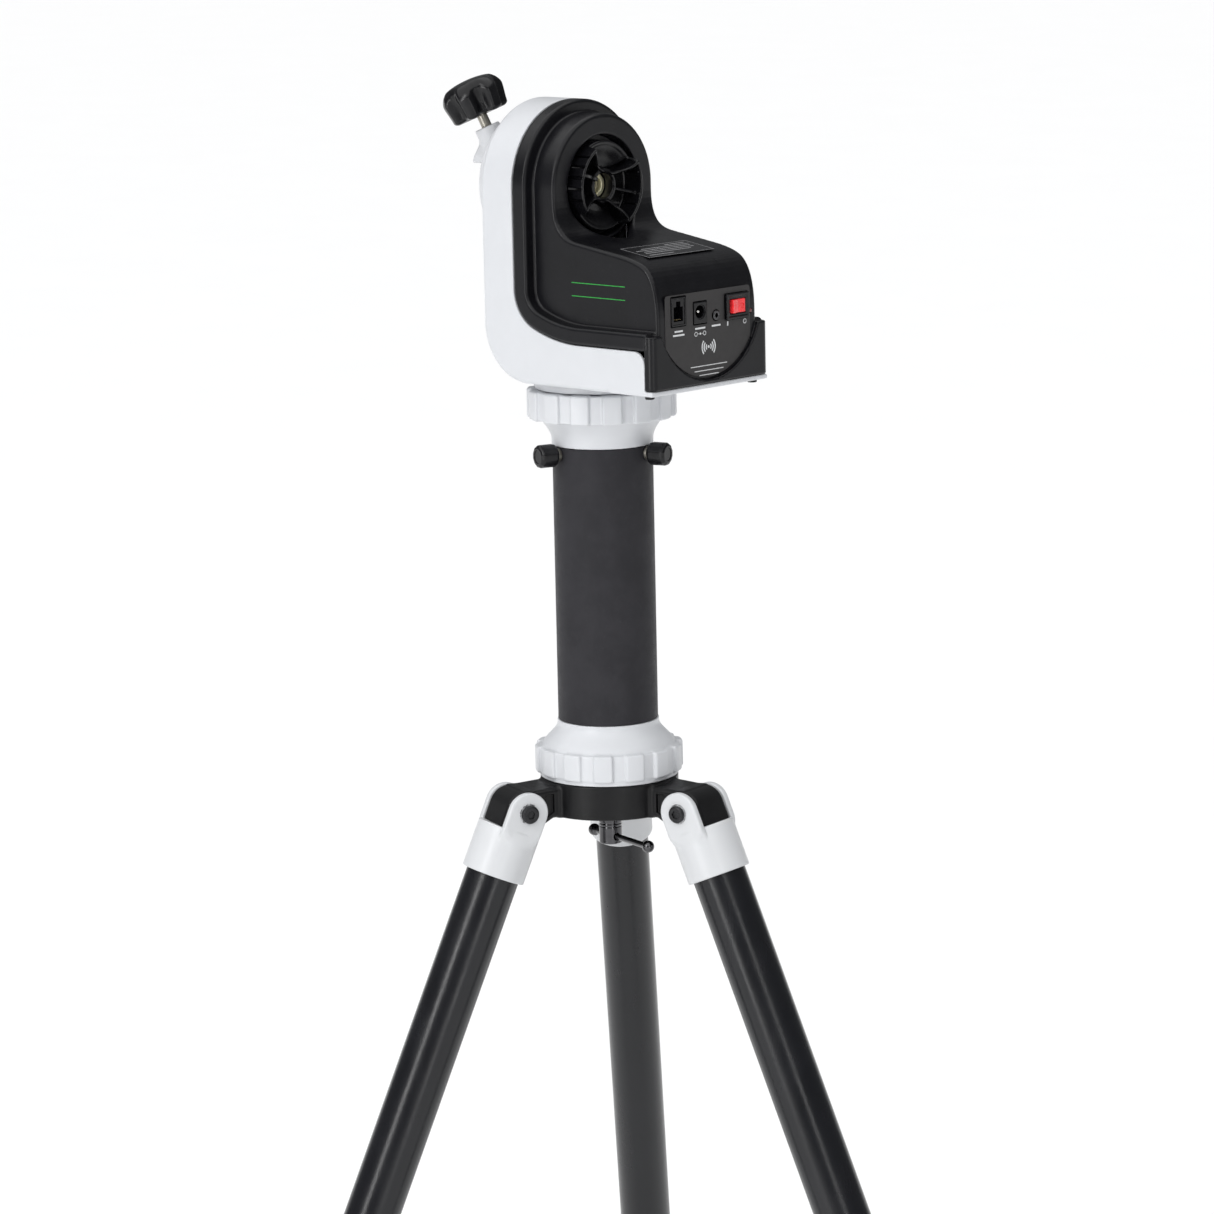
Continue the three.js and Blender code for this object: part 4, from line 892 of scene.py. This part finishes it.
def build_pillar():
    carved("upper_collar_moulding", upper_collar, (-48.3, -48.3, 804), (48.3, 48.3, 860.6), 0.95, STAND, "tripod",
           "white", ["pillar_upper_collar"])
    carved("lower_collar_moulding", lower_collar, (-48.3, -48.3, 606.5), (48.3, 48.3, 663.4), 0.95, STAND, "tripod",
           "white", ["pillar_lower_collar"])
    tube = lathe(sleeve(*PILLAR_RADII, *PILLAR_ENDS), 128, 0.5)
    piece("pillar_sleeve", tube, STAND, "tripod", "pillar", ["pillar_tube"])
    piece("plinth", lathe(sleeve(12.3, 42.8, -6, -0.6), 128, 0.9), HEAD, "tripod", "white", ["azimuth_base"])
    for i in range(3):
        turn = STAND @ Matrix.Translation((0, 0, THUMB_HEIGHT)) @ spin(THUMB_START + 120 * i, "Z")
        low, high = (PILLAR_RADII[0], -THUMB_RADIUS, -THUMB_RADIUS), (48.4, THUMB_RADIUS, THUMB_RADIUS)
        carved(f"thumbscrew_{i + 1}", thumbscrew, low, high, 0.34, turn, f"pillar_lock_{i + 1}", "knob",
               [f"pillar_thumbscrew_{i + 1}"])
        along_x = turn @ spin(90, "Y")
        washer = lathe(sleeve(3.2, 4.4, PILLAR_RADII[1] + 0.02, 34.4), 40, 0.2)
        piece(f"thumbscrew_washer_{i + 1}", washer, along_x, "tripod", "steel")


# ---- hub and legs


def hub(x, y, z):
    radius = np.hypot(x, y)
    disc = both(radius - 45, span(z, 583.8, 606.2), 1.2)
    out, side = repeated(x, y, 3, LEG_DIRECTIONS[0])
    px, pz = out - LEG_PIVOT[0], z - LEG_PIVOT[1]
    dome = rod(px, pz, 13.2)
    web = polygon(out, z, [(30, 583.8), (47, 583.8), (58.5, 577.6), (67, 590), (67, 603.2), (42, 604.6), (30, 604.6)])
    lean = math.radians(LEG_SPLAY)
    lx = math.cos(lean) * px + math.sin(lean) * pz
    lz = math.cos(lean) * pz - math.sin(lean) * px
    stop = both(span(lx, 0, 13.2), span(lz, -13.2, 0))
    side_view = either(either(dome, web, 2.0), stop)
    arm = both(side_view, np.abs(side) - 15.5, 3.2)
    pocket = both(polygon(out, z, [(47, 588), (52, 585), (54, 592), (52.5, 600), (47, 600)]), 13.2 - np.abs(side), 0.5)
    arm = without(arm, pocket, 0.6)
    whole = either(disc, arm, 2.2)
    whole = without(whole, rod(px, pz, PIVOT_HOLE), 0.5)
    gap_out, gap_side = repeated(x, y, 3, LEG_DIRECTIONS[0] + 60)
    whole = without(whole, both(rod(gap_out - 28, gap_side, 8.5), z - 597.8), 0.8)
    return without(whole, radius - 5.2, 0.6)


def clevis(x, y, z):
    radius = np.hypot(x, y)
    cup = both(radius - 20.75, span(z, -45.6, -13.5), 0.9)
    ear_shape = [(-13.6, 0), (-13.6, -12), (-13, -34), (13, -34), (13.6, -12), (13.6, 0)]
    ear_view = either(rod(x, z, 13.6), polygon(x, z, ear_shape) + 0 * y)
    ears = both(ear_view, span(np.abs(y), 15.8, 20.5), 1.3)
    ears = both(ears, (radius - 20.0 - 4.9 * ease(z, -25, -11)) * 0.9, 1.4)
    body = either(cup, ears, 0.8)
    body = without(body, both(np.abs(y) - 15.8, -13.4 - z))
    body = without(body, both(radius - 17.8, z + 24, 0.8), 0.6)
    counter = both(rod(x, z, 6.2), 20.1 - np.abs(y))
    return without(without(body, rod(x, z, PIVOT_HOLE), 0.4), counter, 0.2)


def pivot_bolt(x, y, z):
    shank = both(rod(x, z, 3.9), span(y, -21.5, 21.5))
    head = both(rod(x, z, 5.6), span(y, -23.4, -20.2), 1.3)
    along = repeated(x, z, 6)[0]
    head = without(head, both(along - 2.4, 22.0 - np.abs(y)), 0.3)
    far_head = both(rod(x, z, 5.9), span(y, 20.2, 23.8), 1.3)
    return either(either(shank, head), without(far_head, both(along - 2.4, 22.4 - y), 0.3))


def leg_clamp(x, y, z):
    radius = np.hypot(x, y)
    body = both(radius - (21.5 - 1.2 * ease(z, -472, -466) - 2.5 * ease(-z, 508, 516)), span(z, -516, -466), 1.0)
    for at in (-476, -482, -488):
        body = without(body, rod(radius - 21.9, z - at, 0.8), 0.3)
    boss = both(rod(y, z + CLAMP_SCREW_DROP, 8), span(x, 12, 25), 1.0)
    body = either(body, boss, 1.5)
    body = without(body, both(radius - 17.8, -485.3 - z), 0.3)
    body = without(body, radius - 14.3, 0.4)
    return without(body, both(rod(y, z + CLAMP_SCREW_DROP, 3.3), -x), 0.3)


def clamp_screw(x, y, z):
    """X is the axis, and the screw's middle is at the origin."""
    radius = np.hypot(y, z)
    angle = np.arctan2(z, y)
    grip = both((radius - 10.1 - 0.9 * np.cos(6 * angle)) * 0.9, span(x, 28.3, 40.3), 1.6)
    grip = without(grip, both(radius - 5.5, 39.6 - x), 0.4)
    neck = both(radius - 5.5, span(x, 25.3, 30), 0.5)
    shaft = both(radius - 3, span(x, 14.3, 28))
    return either(either(grip, neck, 0.6), shaft)


def foot(x, y, z):
    radius = np.hypot(x, y)
    body = both(radius - (17 - 1.2 * ease(z, -604, -598)), span(z, -652, -598), 1.2)
    body = both(body, (radius - 11 - (z + 652) * 0.75) * 0.8, 1.0)
    for at in (-610, -617, -624):
        body = without(body, rod(radius - 17.4, z - at, 1.1), 0.4)
    body = without(body, both(radius - 14.3, -612.3 - z))
    lean = math.radians(LEG_SPLAY)
    height = LEG_PIVOT[1] + z * math.cos(lean) + x * math.sin(lean)
    return both(body, -height, 0.8)


def build_legs():
    carved("hub_casting", hub, (-84, -84, 571), (84, 84, 606.2), 0.85, STAND, "tripod", "hub", ["tripod_hub"])
    shared = {
        "clevis_casting": (clevis, (-20.8, -20.8, -45.6), (20.8, 20.8, 13.6), 0.75, "", "enamel", "clevis"),
        "pivot_screw": (pivot_bolt, (-6.5, -23.5, -6.5), (6.5, 24, 6.5), 0.34, "tripod", "bolt", "pivot_bolt"),
        "clamp_moulding": (leg_clamp, (-21.5, -21.5, -516), (25, 21.5, -466), 0.8, "", "white", "clamp"),
        "foot_moulding": (foot, (-17, -17, -652), (17, 17, -598), 0.7, "_lower", "rubber", "foot"),
    }
    nets = {key: surface_net(*value[:4]) for key, value in shared.items()}
    screw_net = surface_net(clamp_screw, (14.3, -11.1, -11.1), (40.3, 11.1, 11.1), 0.5)
    upper = lathe(sleeve(16, 17.5, -485, -24.3), 96, 0.4)
    lower = lathe(sleeve(12.7, 14, -612, -40), 96, 0.4)
    for number, direction in enumerate(LEG_DIRECTIONS, 1):
        at = leg_matrix(direction)
        leg = f"leg_{number}"
        for key, (*_, part, finish, node) in shared.items():
            body = part if part == "tripod" else leg + part
            piece(f"{leg}_{key}", nets[key], at, body, finish, [f"{leg}_{node}"])
        piece(f"{leg}_upper_tube_skin", upper, at, leg, "leg", [f"{leg}_upper_tube"])
        piece(f"{leg}_lower_tube_skin", lower, at, f"{leg}_lower", "leg", [f"{leg}_lower_tube"])
        screw_at = at @ Matrix.Translation((0, 0, -CLAMP_SCREW_DROP))
        piece(f"{leg}_clamp_screw_grip", screw_net, screw_at, f"{leg}_lock", "knob", [f"{leg}_clamp_screw"])


def clamp_bolt(x, y, z):
    radius = np.hypot(x, y)
    head = both(radius - 7.6, span(z, 559.4, 583.5), 0.9)
    for at in (571, 573):
        head = without(head, rod(radius - 7.9, z - at, 0.5), 0.2)
    shank = both(radius - 4.7, span(z, 581, 630), 0.6)
    across = turned(x, y, BAR_TURN)[1]
    return without(either(head, shank, 0.4), rod(across, z - BAR_HEIGHT, 2.3), 0.35)


def tommy_bar(x, y, z):
    ends = (-19, 43)
    bar = both(rod(y, z, 2), span(x, *ends))
    for at in ends:
        bar = either(bar, np.sqrt((x - at) ** 2 + y * y + z * z) - 4, 0.5)
    return bar


def build_clamp():
    carved("clamp_bolt_head", clamp_bolt, (-7.6, -7.6, 559.4), (7.6, 7.6, 630), 0.4, STAND, "tripod_bolt", "chrome",
           ["clamp_bolt"])
    at = STAND @ Matrix.Translation((0, 0, BAR_HEIGHT)) @ spin(BAR_TURN, "Z")
    carved("tommy_handle", tommy_bar, (-23, -4, -4), (47, 4, 4), 0.35, at, "bolt_handle", "chrome", ["tommy_bar"])


# ---- marks


def film(name, outlines, matrix, material, thick):
    """Thin printed marks: closed outlines in (u, v), raised by thick along the matrix's Z."""
    verts, faces = [], []
    for ring in outlines:
        n = len(ring)
        base = len(verts)
        verts += [(u, v, 0) for u, v in ring] + [(u, v, thick) for u, v in ring]
        faces.append([base + n + i for i in range(n)])
        faces.append([base + i for i in reversed(range(n))])
        faces += [[base + i, base + (i + 1) % n, base + n + (i + 1) % n, base + n + i] for i in range(n)]
    made = piece(name, (np.array(verts, float), faces, None), matrix, "head", material)
    made.data.polygons.foreach_set("use_smooth", [False] * len(made.data.polygons))


def bar_mark(u, v, width, height):
    return [(u + i * width / 2, v + j * height / 2) for i, j in SQUARE]


def arc_mark(u, v, radius, start, end, width, steps=14):
    """A curved stroke as one closed outline."""
    angles = [math.radians(start + (end - start) * i / steps) for i in range(steps + 1)]
    radii = (radius + width / 2, radius - width / 2)
    outer, inner = ([(u + r * math.cos(a), v + r * math.sin(a)) for a in angles] for r in radii)
    return outer + inner[::-1]


def disc_mark(u, v, radius, steps=20):
    angles = [2 * math.pi * i / steps for i in range(steps)]
    return [(u + radius * math.cos(a), v + radius * math.sin(a)) for a in angles]


def build_marks():
    # The grid starts so that one of its layers lies in the middle of the film, which is thinner than a step.
    carved("panel_label", panel_label, (93.045, -40, 4), (93.42, 40, 62), 0.55, HEAD, "head", "label")
    panel = HEAD @ Matrix(((0, 0, 1, 93.42), (1, 0, 0, 0), (0, 1, 0, 0), (0, 0, 0, 1)))
    marks = []
    for u, v, width in ((-27.4, 38.6, 7.6), (-27.4, 36.2, 10.6), (-7.4, 38.6, 9.4), (7.5, 38.9, 8.2)):
        marks.append(bar_mark(u, v, width, 1.1))
    marks.append(bar_mark(18.4, 38.9, 1.1, 2.8))
    marks.append(arc_mark(34.6, 38.9, 1.35, 0, 350, 0.5, 24))
    marks += [arc_mark(-11.4, 35.2, 1.25, 0, 350, 0.4, 20), arc_mark(-3.4, 35.2, 1.25, 0, 350, 0.4, 20),
              disc_mark(-7.4, 35.2, 0.75), bar_mark(-9.4, 35.2, 1.4, 0.35), bar_mark(-5.4, 35.2, 1.4, 0.35)]
    for radius in (2.3, 4.2, 6.1):
        for start in (-42, 138):
            marks.append(arc_mark(0.2, 26.2, radius, start, start + 84, 0.95))
    marks.append(disc_mark(0.2, 26.2, 0.9))
    for v, width in ((14.6, 34), (11.6, 27), (8.8, 18)):
        marks.append(bar_mark(0.2, v, width, 0.5))
    film("panel_print", marks, panel, "print", 0.06)
    slope = -5.9 / 38
    lie = math.hypot(1, slope)
    run, lift = 1 / lie, slope / lie
    top = HEAD @ Matrix(((run, 0, -lift, 47.8), (0, 1, 0, 0), (lift, 0, run, 91.8 + slope * 23.8), (0, 0, 0, 1)))
    film("top_label", [bar_mark(14.0, -2.0, 26.0, 61.0)], top, "plate", 0.12)
    lines = [bar_mark(1.6, -2, 0.35, 60), bar_mark(26.4, -2, 0.35, 60), bar_mark(14, -32, 24.6, 0.35),
             bar_mark(14, 28, 24.6, 0.35)]
    for u, v, length in ((5.0, 14, 18), (8.2, 2, 44), (11.4, -3, 50), (14.6, -1, 46), (17.8, -5, 42), (22.4, -16, 22)):
        lines.append(bar_mark(u, v, 0.8, length))
    film("top_print", lines, top @ Matrix.Translation((0, 0, 0.12)), "faded_print", 0.05)
    side = HEAD @ Matrix(((1, 0, 0, 0), (0, 0, -1, -BODY_HALF), (0, 1, 0, 0), (0, 0, 0, 1)))
    film("side_stripes", [bar_mark(42.7, 66.5, 46, 0.5), bar_mark(42.7, 58.1, 46, 0.5)], side, "green_print", 0.08)


# ---- everything

CARRIED_OVER = {
    "steel": ["head_bolt", "azimuth_spindle", "altitude_motor", "azimuth_motor", "altitude_shaft", "altitude_worm",
              "azimuth_worm"],
    "brass": ["azimuth_worm_wheel", "altitude_worm_wheel"],
    "bright": ["inner_frame", "azimuth_bearing", "altitude_bearing_front", "altitude_bearing_rear"],
    "board": ["control_board"], "knob": ["battery_case"],
}


def dress_carried_over():
    """The inner CAD nodes keep their shape and get a finish and a small bevel."""
    for name, material in ((n, m) for m, names in CARRIED_OVER.items() for n in names):
        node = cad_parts[name]
        node.data.materials.clear()
        node.data.materials.append(FINISHES[material])
        bevel = node.modifiers.new("edges", "BEVEL")
        bevel.width = 0.0002
        bevel.segments = 2
        bevel.limit_method = "ANGLE"
        bevel.angle_limit = math.radians(40)


right, back = camera()
studio(right, back)
build_casing()
build_altitude_axis()
build_pillar()
build_legs()
build_clamp()
build_marks()
dress_carried_over()
